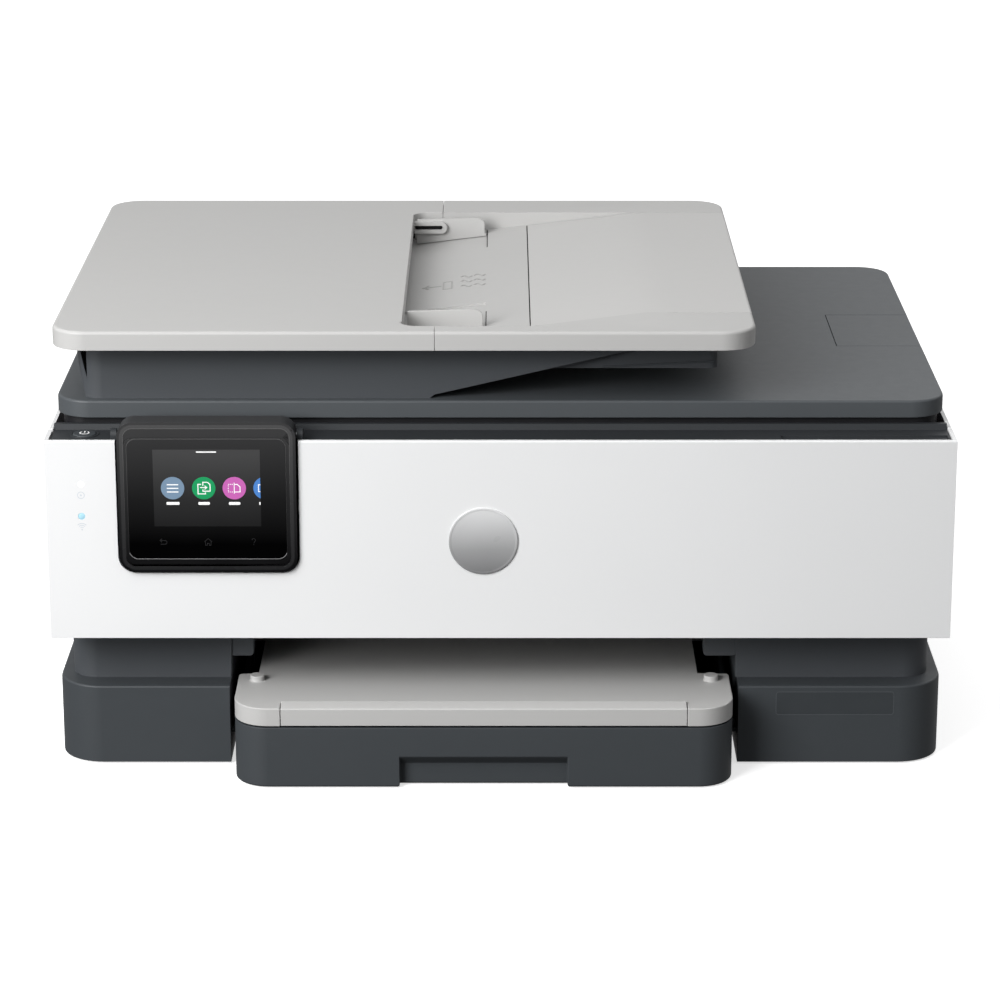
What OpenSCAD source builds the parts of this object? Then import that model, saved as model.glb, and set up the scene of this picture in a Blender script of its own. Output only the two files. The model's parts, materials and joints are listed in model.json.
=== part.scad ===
// Office all-in-one inkjet printer with a sheet feeder on its scanner lid.
// Millimetres. +X right, +Y to the back, +Z up. The origin is the centre of
// the overall footprint, on the surface that the feet stand on.

/* [Overall] */
// Width over the white panel and the base
body_w = 460; // [456:1:464]
// Depth from the front of the paper tray to the back of the lid
body_d = 342; // [340:1:344]
// Height to the top of the sheet feeder
body_h = 234; // [233.5:0.1:234.5]

/* [Base] */
// Height of the base's top edge
base_top = 43; // [42.5:0.1:43.2]
// Height of the base's underside above the surface
base_gap = 0.8; // [0.6:0.1:1]
// Distance of the base's front face from the middle
base_front = 136; // [134:0.5:138]
// Corner radius of the base at the front
base_r = 23; // [18:1:26]
// Left edge of the paper bay
bay_x0 = -140.5; // [-141.5:0.1:-140]
// Right edge of the paper bay
bay_x1 = 123.5; // [123:0.1:124.5]

/* [Body shell] */
// Half width of the body shell
shell_hw = 224; // [223.5:0.1:224]
// Front face of the body shell
shell_front = 122.3; // [121:0.1:123]
// Back face of the body shell
shell_back = 149.5; // [149:0.1:149.5]
// Wall of the body shell
shell_t = 2.5; // [2:0.1:3]

/* [White panel] */
// Lower edge of the white panel
panel_z0 = 74.8; // [74:0.1:75.5]
// Upper edge of the white panel
panel_z1 = 179.8; // [179:0.1:180]
// Front face of the white panel
panel_front = 151.6; // [151:0.1:152.5]
// Thickness of the white skin
panel_t = 2.2; // [1.8:0.1:2.4]

/* [Control panel] */
// Left edge of the control panel
cp_x0 = -193; // [-194:0.1:-192]
// Right edge of the control panel
cp_x1 = -103; // [-104:0.1:-102]
// Lower edge of the control panel
cp_z0 = 111; // [110.5:0.1:112]
// Upper edge of the control panel
cp_z1 = 190; // [189:0.1:190.5]
// Corner radius of the control panel
cp_r = 8; // [5:0.5:10]
// Gap between the control panel and the front door
cp_gap = 1.1; // [0.8:0.1:2]

/* [Scanner lid] */
// Underside of the scanner lid
lid_z0 = 185; // [185:0.1:185.5]
// Top of the scanner lid
lid_z1 = 194.1; // [194:0.1:194.2]
// Front edge of the scanner lid
lid_front = 127.4; // [126:0.1:128]
// Corner radius of the lid
lid_r = 18; // [14:1:20]

/* [Sheet feeder] */
// Front edge of the feeder's cover
adf_front = 142.7; // [141:0.1:144]
// Left edge of the feeder's cover
adf_x0 = -226.6; // [-227:0.1:-226]
// Right edge of the feeder's tray
adf_x1 = 129; // [127:0.5:131]
// Underside of the cover's rim
adf_z0 = 224.2; // [224:0.1:224.4]
// Seam between the feeder's cover and its tray
adf_seam = -33; // [-34:0.1:-32]
// Right edge of the cover over the paper slot
slot_x = -50; // [-52:0.5:-49]

/* [Paper tray] */
// Left side of the paper tray
tray_x0 = -136.6; // [-136.8:0.1:-136.2]
// Right side of the paper tray
tray_x1 = 119.4; // [119:0.1:119.6]
// Top of the paper tray
tray_z1 = 33; // [32:0.1:33.4]
// Corner radius of the paper tray at the front
tray_r = 18; // [14:1:20]

/* [Output tray] */
// Underside of the output tray's front
out_z0 = 33.9; // [33.8:0.1:34.5]
// Top of the output tray's front
out_z1 = 43.5; // [43:0.1:44]
// Diameter of the two round pegs
peg_d = 7.5; // [7:0.1:8]

/* [Print engine] */
// Radius of the carriage's guide rod
rod_r = 4; // [3.5:0.1:4.5]
// Height of the guide rod's centre
rod_z = 95; // [94:0.5:96]
// Distance of the guide rod's centre behind the middle
rod_y = 10; // [9:0.5:11]
// Radial running clearance of rods, pins and shafts
run = 0.05; // [0.03:0.01:0.08]
// Width of the carriage
car_w = 96; // [92:1:98]

/* [Hidden] */
hw = body_w / 2;
yf = -body_d / 2;
yb = body_d / 2;
door_ay = -143;         // door hinge axis
door_az = 81;
cp_ay = -146;           // control panel hinge axis
cp_az = 181.5;
lid_ay = 157;           // lid hinge axis
lid_az = 181;
cov_ax = -219.5;        // feeder cover hinge axis
cov_az = 221.5;
ds_ax = 225.9;          // document stop hinge axis
ds_az = 193.1;
ot_ay = -44;            // output tray hinge axis
ot_az = 37;
pick_ay = 52;           // pick arm hinge axis
pick_az = 46;
pick_ry = 92;           // pick roller axis
pick_rz = 44.5;
pulley_r = 6;
belt_z = 112;
belt_y = 27;
feed_y = 20;
feed_z = 59;
exit_y = -49;
exit_z = 59;
dark = [0.23, 0.25, 0.27];
darker = [0.10, 0.11, 0.12];
lightgrey = [0.74, 0.74, 0.72];
white = [0.95, 0.95, 0.96];
black = [0.03, 0.03, 0.035];
steel = [0.75, 0.76, 0.78];

// ---- shapes that repeat ----

// block between two corners
module bx(x0, y0, z0, x1, y1, z1) {
  translate([x0, y0, z0]) cube([x1 - x0, y1 - y0, z1 - z0]);
}
// rectangle with front corners of radius rf and back corners of radius rb
module rr(x0, y0, x1, y1, rf, rb) {
  translate([x0 + rf, y0]) square([x1 - x0 - 2 * rf, rf + 1]);
  translate([x0, y0 + rf]) square([x1 - x0, y1 - y0 - rf - rb]);
  translate([x0 + rb, y1 - rb - 1]) square([x1 - x0 - 2 * rb, rb + 1]);
  for (x = [x0 + rf, x1 - rf]) translate([x, y0 + rf]) circle(r = rf, $fn = 64);
  for (x = [x0 + rb, x1 - rb]) translate([x, y1 - rb]) circle(r = rb, $fn = 64);
}
module rbox(x0, y0, z0, x1, y1, z1, rf, rb) {
  translate([0, 0, z0]) linear_extrude(z1 - z0) rr(x0, y0, x1, y1, rf, rb);
}
// rod along X, Y or Z from a start point
module rodx(x0, x1, y, z, r) {
  translate([x0, y, z]) rotate([0, 90, 0]) cylinder(h = x1 - x0, r = r, $fn = 64);
}
module rody(y0, y1, x, z, r) {
  translate([x, y1, z]) rotate([90, 0, 0]) cylinder(h = y1 - y0, r = r, $fn = 64);
}
module rodz(z0, z1, x, y, r) {
  translate([x, y, z0]) cylinder(h = z1 - z0, r = r, $fn = 64);
}
// outline in the XZ plane, extruded from y0 to y1
module xz(pts, y0, y1) {
  translate([0, y1, 0]) rotate([90, 0, 0]) linear_extrude(y1 - y0) polygon(pts);
}
// outline in the YZ plane, extruded from x0 to x1
module yz(pts, x0, x1) {
  translate([x0, 0, 0]) rotate([90, 0, 90]) linear_extrude(x1 - x0) polygon(pts);
}
// height of the feeder tray's surface at x
function surf(x) = x < 15 ? 218.5 + (x + 50) * 8 / 65 : x < 74 ? 226.5 + (x - 15) * 7.5 / 59 : 234;

// ---- lower housing ----

module base_frame() color(dark) {
  difference() {
    rbox(-hw, -base_front, base_gap, hw, 158, base_top, base_r, 12);
    // bay for the paper tray, open at the front and below
    bx(bay_x0, -200, -1, bay_x1, 132, base_top + 1);
    // hollow side blocks, open into the body shell
    rbox(-hw + 2.5, -base_front + 2.5, 3.3, bay_x0 - 2.5, 155.5, base_top - 2.5, base_r - 2.5, 9.5);
    rbox(bay_x1 + 2.5, -base_front + 2.5, 3.3, hw - 2.5, 155.5, base_top - 2.5, base_r - 2.5, 9.5);
    bx(-221, -118, base_top - 4, bay_x0 - 5, 146, base_top + 1);
    bx(bay_x1 + 5, -118, base_top - 4, 221, 146, base_top + 1);
    bx(bay_x0, 134.5, 3.3, bay_x1, 155.5, base_top - 2.5);
    bx(bay_x0, 134.5, base_top - 4, bay_x1, 146, base_top + 1);
  }
  // rails that carry the paper tray
  bx(bay_x0 - 1, -126, 14, bay_x0 + 3.1, 133, 16.2);
  bx(bay_x1 - 3.1, -126, 14, bay_x1 + 1, 133, 16.2);
  // posts for the four housing screws
  for (x = [-212, 212], y = [-100, 132]) rodz(3, base_top - 2, x, y, 5);
}
module feet() color(black)
  for (x = [-200, 200], y = [-108, 132]) rodz(0, base_gap, x, y, 9);

module body_shell() color(dark) {
  difference() {
    rbox(-shell_hw, -shell_front, base_top, shell_hw, shell_back, 160, 14, 14);
    rbox(-shell_hw + shell_t, -shell_front + shell_t, base_top - 1, shell_hw - shell_t, shell_back - shell_t, 161, 11.5, 11.5);
    // opening for the paper and for reaching the cartridges
    bx(-140, -130, base_top - 1, 122.6, -110, 150);
    // back opening behind the clip-on cover
    bx(-105, 140, 62, 105, 155, 132);
    // power inlet and data sockets
    bx(-192, 140, 60, -166, 155, 78);
    bx(139, 140, 62, 157, 155, 76);
    bx(166, 140, 62, 184, 155, 76);
  }
  // cheeks of the paper opening
  bx(-142.5, -120.5, base_top, -140, -57.5, panel_z0);
  bx(122.6, -120.5, base_top, 125.1, -57.5, panel_z0);
  // corner guides at the top of the opening
  bx(-141, -122.3, 64, -128.5, -110, panel_z0);
  bx(105.7, -122.3, 64, 123.6, -110, panel_z0);
}
// side is -1 for left, 1 for right
module side_cover(side) color(white) mirror([side < 0 ? 1 : 0, 0, 0]) {
  bx(hw - panel_t, -129, panel_z0, hw, shell_back, panel_z1);
  bx(shell_hw, -121, panel_z0, hw - 1, shell_back, panel_z0 + 2);
  bx(shell_hw, shell_back - 2.2, panel_z0, hw - 1, shell_back, panel_z1 - 3);
  for (y = [-95, -20, 60]) bx(shell_hw, y, panel_z0, hw - 1, y + 2, 150);
}
module side_cover_left() side_cover(-1);
module side_cover_right() side_cover(1);

module front_deck() color(dark) {
  difference() {
    union() {
      bx(-227.5, -149, 176.6, 227.5, -124.3, 178.8);
      bx(-221, -126.5, 160, 221, -124, 177);
      // raised lip behind the deck, under the edge of the lid
      yz([[-128.2, 178], [-127.2, 181.8], [-124.3, 181.8], [-124.3, 178]], -227.5, 227.5);
      for (x = [-222, -97, 30, 130, 220]) bx(x - 1.2, -147, 166, x + 1.2, -125, 177);
    }
    // bay for the control panel
    bx(cp_x0 - 2, -150, 150, cp_x1 + 2, -137, 180);
    // well of the power button
    rodz(170, 180, -211, -136, 6.3);
    // shallow step at the right
    bx(142, -150, 177.9, 226.5, -138, 180);
  }
  // ears that hold the control panel's pin
  for (x = [cp_x0 - 3.4, cp_x1 + 0.4]) difference() {
    union() {
      rodx(x, x + 3, cp_ay, cp_az, 3.4);
      bx(x, cp_ay - 2.9, 176.6, x + 3, cp_ay + 3.4, cp_az);
    }
    rodx(x - 1, x + 4, cp_ay, cp_az, 1.5);
  }
  // ring around the power button
  difference() {
    rodz(178.6, 179.2, -211, -136, 7.4);
    rodz(178, 180, -211, -136, 6.3);
  }
}
module power_button() color(dark) {
  rodz(175, 179.6, -211, -136, 6);
  rodz(174.2, 176.2, -211, -136, 7.5);
}

// ---- front door ----

module door_hinge_arms() color(darker)
  for (s = [-1, 1]) {
    bx(s * 205 - 4, -140, 76.5, s * 205 + 4, -shell_front, 86);
    rodx(s * 205 - 4, s * 205 + 4, door_ay, door_az, 4.6);
    bx(s * 205 - 4, door_ay, 76.5, s * 205 + 4, -138, 85.5);
    rodx(s > 0 ? 196 : -209, s > 0 ? 209 : -196, door_ay, door_az, 2);
  }
module front_door() color(white) {
  difference() {
    union() {
      bx(-hw, -panel_front, panel_z0, hw, -panel_front + panel_t, panel_z1);
      for (s = [0, 1]) mirror([s, 0, 0]) bx(hw - panel_t, -panel_front, panel_z0, hw, -131, panel_z1);
      // stiffening ribs on the inside
      for (x = [-90, 0, 90, 180]) bx(x - 1, -panel_front + 1, 88, x + 1, -144, 172);
    }
    // cut-out around the control panel, with its lower corners rounded to match
    translate([0, -120, 0]) rotate([90, 0, 0]) linear_extrude(40)
      rr(cp_x0 - cp_gap, cp_z0 - cp_gap, cp_x1 + cp_gap, 240, cp_r + cp_gap, 4);
    for (x = [-212], z = [140, 157]) translate([x, -149, z]) rotate([90, 0, 0]) cylinder(h = 4, r = 1.8, $fn = 32);
  }
  // hinge lugs
  for (s = [0, 1]) mirror([s, 0, 0]) difference() {
    union() {
      bx(196.4, -150, 77, 200.6, door_ay, 85);
      rodx(196.4, 200.6, door_ay, door_az, 4);
    }
    rodx(196, 201, door_ay, door_az, 2 + run);
  }
}
module door_badge() color(steel)
  translate([-8.7, -panel_front, 127]) rotate([90, 0, 0]) cylinder(h = 0.8, r = 17.6, $fn = 96);
module status_lights() color("white")
  for (z = [140, 157]) translate([-212, -146, z]) rotate([90, 0, 0]) {
    cylinder(h = 5.6, r = 1.75, $fn = 32);
    cylinder(h = 3.4, r = 3, $fn = 32);
  }

// ---- control panel ----

module panel_housing() color(black) {
  difference() {
    union() {
      difference() {
        translate([0, -141, 0]) rotate([90, 0, 0]) linear_extrude(13) rr(cp_x0, cp_z0, cp_x1, cp_z1, cp_r, cp_r);
        // seat of the touch screen
        translate([0, -152.8, 0]) rotate([90, 0, 0]) linear_extrude(5) rr(cp_x0 + 3, cp_z0 + 4, cp_x1 - 3, cp_z1 - 8, 5, 5);
        // hollow behind it, open at the back
        bx(cp_x0 + 3, -151, cp_z0 + 3, cp_x1 - 3, -140, 172);
      }
    }
    rodx(cp_x0 - 1, cp_x1 + 1, cp_ay, cp_az, 1.5 + run);
  }
}
module panel_screen() color(black)
  translate([0, -152.8, 0]) rotate([90, 0, 0]) linear_extrude(1.5) rr(cp_x0 + 3.2, cp_z0 + 4.2, cp_x1 - 3.2, cp_z1 - 8.2, 4.8, 4.8);
module panel_hinge_pin() color(steel)
  rodx(cp_x0 - 3.4, cp_x1 + 3.4, cp_ay, cp_az, 1.5);

// ---- scanner ----

module scanner_bed() color(black)
  difference() {
    rbox(-shell_hw, -124, 160, shell_hw, 149, 184.7, 12, 12);
    rbox(-shell_hw + 2.5, -121.5, 162.5, shell_hw - 2.5, 146.5, 181.7, 9.5, 9.5);
    bx(-187, -99, 180, 104, 111, 186);
    bx(-209, -99, 180, -199, 111, 186);
    bx(-190, -102, 182.7, 107, 114, 186);
    bx(-212, -102, 182.7, -196, 114, 186);
  }
module scanner_glass() color([0.7, 0.8, 0.8]) {
  bx(-190, -102, 182.7, 107, 114, 184.5);
  bx(-212, -102, 182.7, -196, 114, 184.5);
}
module scan_rod() color(steel) rodx(-221.5, 221.5, 6, 168, 3);
module scan_bar() color(black) {
  bx(-216, -100, 172.5, -192, 112, 180.5);
  difference() {
    bx(-216, -6, 163.3, -192, 18, 173);
    rodx(-217, -191, 6, 168, 3 + run);
  }
}
module lid_hinge_brackets() color(darker)
  for (s = [0, 1]) mirror([s, 0, 0]) {
    for (x = [138, 154]) {
      bx(x, shell_back, 150, x + 8, 160.2, lid_az);
      bx(x, 149, 160, x + 8, 152, lid_az);
      rodx(x, x + 8, lid_ay, lid_az, 3.2);
      bx(x, shell_back, 120, x + 8, 154, 151);
    }
    rodx(138, 162, lid_ay, lid_az, 2);
  }

// ---- scanner lid ----

module scanner_lid() color(dark)
  difference() {
    union() {
      difference() {
        rbox(-227, -lid_front, lid_z0, 227, yb, lid_z1, lid_r, lid_r);
        rbox(-224.8, -lid_front + 2.2, lid_z0 - 1, 224.8, yb - 2.2, lid_z1 - 2.2, lid_r - 2.2, lid_r - 2.2);
        // pocket of the document stop, open to the right
        bx(181, -16.3, 191.8, 230, 53, 195);
      }
      bx(178.8, -18.5, 189.6, 225, 55.2, 191.8);
      bx(222, -18.5, 189.6, 226, -16.3, 194);
      bx(222, 53, 189.6, 226, 55.2, 194);
    }
    rody(-19, 56, ds_ax, ds_az, 0.6 + run);
  }
module document_stop() color(dark) {
  bx(181.4, -15.9, 192.15, ds_ax, 52.6, 194.05);
  rody(-15.9, 52.6, ds_ax, ds_az, 0.95);
  rody(-18, 54.6, ds_ax, ds_az, 0.6);
}
module lid_liner() color(darker)
  difference() {
    union() {
      rbox(-224.8, -lid_front + 2.2, 187, 224.8, yb - 2.2, 189, lid_r - 2.2, lid_r - 2.2);
      for (s = [0, 1]) mirror([s, 0, 0]) {
        rodx(146.4, 153.6, lid_ay, lid_az, 3.4);
        bx(146.4, lid_ay - 3.4, lid_az, 153.6, lid_ay + 3.4, 188);
      }
    }
    for (s = [0, 1]) mirror([s, 0, 0]) rodx(146, 154, lid_ay, lid_az, 2 + run);
  }
module lid_pad() color(white) rbox(-214, -104, 185.2, 110, 117, 187, 4, 4);

// ---- sheet feeder ----

module adf_housing() color(dark) {
  difference() {
    union() {
      intersection() {
        xz([[-211.5, lid_z1], [-36, lid_z1], [-33.7, 196], [72.5, 220.7], [76, 222.5], [76, adf_z0],
            [-216.5, adf_z0], [-216.5, 216]], -122.6, 160);
        rbox(-216.5, -122.6, 190, 120, 160, 230, 14, 8);
      }
      rbox(20, -114, 207.7, 111, 150, 221.4, 4, 4);
    }
    xz([[-208.8, 196.6], [-34.5, 196.6], [39, 215.8], [66, 222.4], [66, 230], [-214, 230], [-214, 217]], -120, 157.5);
    bx(22.5, -111.5, 210.2, 108.5, 147.5, 230);
    bx(-230, -130, adf_z0 - 0.4, adf_seam - 0.3, 170, 230);
    bx(slot_x - 1, -125, 221.6, adf_seam + 1, -117, 230);
  }
  // ears of the cover's hinge
  for (y = [-92, 128]) {
    rody(y, y + 8, cov_ax, cov_az, 2.2);
    bx(cov_ax, y, cov_az - 2.2, -215, y + 8, cov_az + 1.6);
  }
  rody(-108, -84, cov_ax, cov_az, 1);
  rody(128, 152, cov_ax, cov_az, 1);
  // bearings of the feeder's pick roller
  difference() {
    union() for (y = [-40, 64]) bx(-96, y, 196, -84, y + 3, 213);
    rody(-41, 68, -90, 208, 2.5 + run);
  }
}
module adf_cover() color(lightgrey) {
  difference() {
    rbox(adf_x0, -adf_front, adf_z0, adf_x1, yb, body_h, lid_r, lid_r);
    // everything right of the seam
    bx(adf_seam - 0.3, -200, 220, 200, 200, 240);
    // opening over the paper slot
    translate([0, 0, 220]) linear_extrude(20) rr(slot_x, -129, 0, 137, 8, 8);
    // hollow inside
    rbox(adf_x0 + 2.2, -adf_front + 2.2, adf_z0 - 1, slot_x - 2.2, yb - 2.2, body_h - 2.2, lid_r - 2.2, lid_r - 2.2);
  }
  // hinge knuckles
  difference() {
    union() for (y = [-100, 136.3]) {
      rody(y, y + 7.7, cov_ax, cov_az, 2.2);
      bx(cov_ax - 2.2, y, cov_az, cov_ax + 2.2, y + 7.7, 232.5);
    }
    rody(-109, 153, cov_ax, cov_az, 1 + run);
  }
}
module adf_input_tray() color(lightgrey) {
  difference() {
    union() {
      difference() {
        rbox(adf_x0, -adf_front, adf_z0, adf_x1, yb, body_h, lid_r, lid_r);
        bx(-300, -200, 220, adf_seam, 200, 240);
        // hollow rim
        rbox(adf_seam - 30, -adf_front + 2.2, adf_z0 - 1, adf_x1 - 2.2, yb - 2.2, body_h - 2.2, lid_r - 2.2, lid_r - 2.2);
        bx(-40, -129, 220, 74, 137, 240);
        bx(14.9, -101.9, 220, 140, 135.9, 240);
      }
      // back wall of the sunk floor, and its front wall with a shelf behind the rim
      xz([[slot_x + 0.6, 216.8], [15, 224.5], [76, 232], [76, body_h], [adf_seam, body_h], [adf_seam, 223.8], [slot_x + 0.6, 223.8]], 137, 139);
      xz([[slot_x + 0.6, 216.8], [15, 224.4], [15, 226.4], [adf_seam, 226.4], [adf_seam, 223.8], [slot_x + 0.6, 223.8]], -119.8, -117.8);
      bx(slot_x + 0.6, -128.4, 221.8, adf_seam + 1, -117.8, 223.8);
      bx(adf_seam, -131, 224.4, 16, -117.8, 226.4);
      bx(adf_seam, -131, 224.4, 76, -129, body_h - 1);
      // sunk floor, reaching in under the cover
      xz([[-76, 213.1], [slot_x, 216.3], [15, 224.3], [15, surf(15)], [slot_x, surf(slot_x)], [-76, 215.3]], -119.8, 138);
      for (s = [[-130, -101.9], [135.9, 138]])
        xz([[14, 224.2], [74, 231.8], [74, body_h], [14, surf(14)]], s[0], s[1]);
      // channel under the tray extension
      bx(14, -104, 221.6, 127, 138, 223.8);
      for (y = [-104.1, 135.9]) xz([[14, 221.6], [127, 221.6], [127, body_h - 0.4], [74, body_h - 0.4], [14, surf(14) - 0.2]], y, y + 2.2);
    }
    // shallow beds of the two width guides
    for (s = [[-117.8, -39], [92, 137]])
      xz([[slot_x - 1, surf(slot_x - 1) - 1.1], [-7.5, surf(-7.5) - 1.1], [-7.5, 230], [slot_x - 1, 230]], s[0], s[1]);
  }
}
// panel with a curved fall to the left, drawn out to the right
module adf_tray_extension() color(lightgrey) {
  xz([[15.6, surf(15.6)], [30, surf(30) - 0.1], [62, surf(62) - 0.5], [74, 233.6], [86, body_h], [adf_x1, body_h],
      [adf_x1, adf_z0 + 0.2], [adf_x1 - 1.9, adf_z0 + 0.2], [adf_x1 - 1.9, 231.8], [86, 231.8], [74, 231.3], [15.6, 224.2]], -101.5, 135.5);
}
// s is -1 for the front guide, 1 for the rear guide; y is its paper side
module adf_guide(s, y) color(lightgrey) {
  xz([[-47.9, surf(-47.9) - 0.7], [-8, surf(-8) - 0.7], [-8, surf(-8) + 0.4], [-47.9, surf(-47.9) + 0.4]], min(y, y + s * 11), max(y, y + s * 11));
  xz([[-47.9, surf(-47.9) - 0.2], [-9, surf(-9) - 0.2], [-9, 229.5], [-9.7, 231.6], [-11.5, 232.8], [-14, 233.3], [-44, 232.4], [-47.9, 232.2]],
     min(y, y + s * 2), max(y, y + s * 2));
}
module adf_guide_front() adf_guide(-1, -91);
module adf_guide_rear() {
  adf_guide(1, 125);
  // finger tab with a slot
  color(lightgrey) difference() {
    union() {
      bx(-49.4, 122.4, 224.6, -34, 125.5, 231.4);
      rody(122.4, 125.5, -34, 228, 3.4);
    }
    bx(-52, 120, 226.8, -34, 124.6, 229.2);
    rody(120, 124.6, -34, 228, 1.2);
  }
}
module adf_pick_roller() color(darker) {
  rody(-45, 72, -90, 208, 2.5);
  for (y = [-12, 30]) rody(y, y + 16, -90, 208, 7);
}

// ---- paper tray ----

module input_tray() color(dark) {
  difference() {
    rbox(tray_x0, yf, 0.6, tray_x1, 122, tray_z1, tray_r, 3);
    rbox(tray_x0 + 2.5, yf + 8, 3, tray_x1 - 2.5, 119.5, tray_z1 + 1, 10, 2);
    // handle
    yz([[yf - 1, -1], [yf - 1, 17.2], [yf, 17.2], [yf + 5.2, 12.2], [yf + 5.2, -1]], -51.6, 34.4);
    // gap in the back wall for the pick roller
    bx(-40, 110, 3, 24, 130, tray_z1 + 1);
    // clearance below the output tray's narrow part
    bx(-130, yf + 40, 31, 110, 130, 40);
  }
  // ears that hold the output tray's pivots
  for (x = [tray_x0, tray_x1 - 3]) difference() {
    bx(x, ot_ay - 4, 24, x + 3, ot_ay + 4, 40.6);
    rodx(x - 1, x + 4, ot_ay, ot_az, 1.5 + run);
  }
  // ribs that slide on the base's rails
  bx(tray_x0 - 3.4, -120, 16.6, tray_x0 + 1, 122, 18.6);
  bx(tray_x1 - 1, -120, 16.6, tray_x1 + 3.4, 122, 18.6);
}
// s is -1 for left, 1 for right; x is the paper side
module tray_guide(s, x) color(darker) {
  bx(min(x, x + s * 2), -60, 3.4, max(x, x + s * 2), 40, 26);
  bx(min(x, x + s * 14), -45, 3.3, max(x, x + s * 14), 25, 5);
}
module tray_guide_left() tray_guide(-1, -117.6);
module tray_guide_right() tray_guide(1, 100.4);
module tray_length_guide() color(darker) {
  bx(-30, -152, 3.4, 13, -150, 24);
  bx(-24, -160, 3.3, 7, -150, 5);
}

// ---- output tray ----

module output_tray() color(lightgrey) {
  difference() {
    union() {
      rbox(tray_x0, yf, out_z0, tray_x1, -118, out_z1, tray_r, 2);
      bx(-126.4, -119, out_z0 + 1, 103, ot_ay + 2, out_z1);
      for (x = [-126.5, 109.6]) rodz(out_z1 - 1, out_z1 + 3, x, -128, peg_d / 2);
    }
    // hollow below
    rbox(tray_x0 + 2.2, yf + 2.2, out_z0 - 1, tray_x1 - 2.2, -120.2, out_z1 - 2.4, tray_r - 2.2, 1);
    bx(-124.2, -122, out_z0 - 1, 100.8, ot_ay - 4, out_z1 - 2.4);
    // notch for the front bar of the extension
    bx(-112.4, yf - 1, out_z0 - 1, 95.4, yf + 9.4, out_z1 + 1);
  }
  // pivots at the back
  rodx(-136, -125.5, ot_ay, ot_az, 1.5);
  rodx(102, 118.8, ot_ay, ot_az, 1.5);
  // channel that carries the extension
  bx(-114.6, yf + 10, out_z0, 97.6, -56, 35.8);
  for (x = [-114.6, 95.4]) bx(x, yf + 10, out_z0, x + 2.2, -56, out_z1 - 2);
}
module output_extension() color(lightgrey) {
  bx(-112, yf + 8, 36.2, 95, -60, 40.6);
  yz([[yf, 34.3], [yf, 43.1], [yf + 0.6, 43.5], [yf + 8.4, 44.7], [yf + 9, 44.3], [yf + 9, 34.3]], -112, 95);
}

// ---- print engine ----

module inner_frame() color(darker) {
  difference() {
    union() {
      bx(-221.5, -57.5, 49, 221.5, 134, 52);
      bx(-208, 133, 49, 208, 147, 52);
      bx(-185, -57.5, 49, 185, -55, 60);
    }
    // opening over the pick roller
    bx(-36, 60, 48, 20, 112, 53);
  }
  // legs on the base
  for (x = [-214, 212], y = [-50, 100]) bx(x - 3, y, 3.3, x + 3, y + 12, 50);
  // bearings of the pick arm
  for (x = [-33, 14]) difference() {
    bx(x, pick_ay - 5, 40, x + 3, pick_ay + 5, 50);
    rodx(x - 1, x + 4, pick_ay, pick_az, 2);
  }
}
module platen() color(black) {
  bx(-150, -40, 52, 100, 8, 57);
  for (i = [0 : 11]) bx(-142 + i * 20.6, -38, 56, -140 + i * 20.6, 6, 58.5);
}
module side_plates() color(steel)
  for (x = [-188, 186]) difference() {
    bx(x, -55, 52, x + 2, 60, 140);
    // seats of the guide rod and of the two shafts
    rodx(x - 1, x + 3, rod_y, rod_z, rod_r);
    rodx(x - 1, x + 3, feed_y, feed_z, 3 + run);
    rodx(x - 1, x + 3, exit_y, exit_z, 2 + run);
    bx(x - 1, -60, 70, x + 3, 3, 136);
    bx(x - 1, -1, 100, x + 3, 34, 136);
  }
module guide_rod() color(steel) rodx(-221.5, 221.5, rod_y, rod_z, rod_r);
module encoder_strip() color([0.8, 0.82, 0.85]) bx(-186, 36, 122, 186, 36.6, 130);
module carriage() color(darker) {
  difference() {
    union() {
      bx(184 - car_w, -48, 66, 184, -46, 106);
      bx(184 - car_w, -48, 66, 184, 2, 69);
      bx(184 - car_w, 0, 66, 184, 20, 104);
      for (i = [0 : 4]) bx(184 - car_w + i * (car_w - 2) / 4, -48, 66, 186 - car_w + i * (car_w - 2) / 4, 2, 100);
      // belt clamp
      bx(128, 18, 100, 148, 23.6, 118);
    }
    rodx(80, 190, rod_y, rod_z, rod_r + run);
  }
  // print head
  bx(184 - car_w + 6, -40, 61.5, 178, -6, 67);
}
module cartridges() for (i = [0 : 3])
  color([[0.1, 0.1, 0.1], [0.1, 0.6, 0.8], [0.8, 0.2, 0.5], [0.9, 0.8, 0.1]][i])
    bx(184 - car_w + 2 + i * (car_w - 2) / 4, -46, 69, 184 - car_w + i * (car_w - 2) / 4 + (car_w - 2) / 4, 0, 112);
// toothed belt around the two pulleys
module carriage_belt() color(black)
  translate([0, belt_y + 3, belt_z]) rotate([90, 0, 0]) linear_extrude(6) difference() {
    union() {
      translate([-204, -pulley_r - 1.5]) square([408, 2 * pulley_r + 3]);
      for (x = [-204, 204]) translate([x, 0]) circle(r = pulley_r + 1.5, $fn = 64);
    }
    translate([-204, -pulley_r - 0.1]) square([408, 2 * pulley_r + 0.2]);
    for (x = [-204, 204]) translate([x, 0]) circle(r = pulley_r + 0.1, $fn = 64);
  }
module pulley(x) {
  difference() {
    union() {
      rody(belt_y - 3.4, belt_y + 3.4, x, belt_z, pulley_r);
      for (y = [belt_y - 4.6, belt_y + 3.4]) rody(y, y + 1.2, x, belt_z, pulley_r + 2.4);
    }
    rody(belt_y - 6, belt_y + 6, x, belt_z, 2 + run);
  }
}
module drive_pulley() color(steel) pulley(204);
module idler_pulley() color(darker) pulley(-204);
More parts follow.
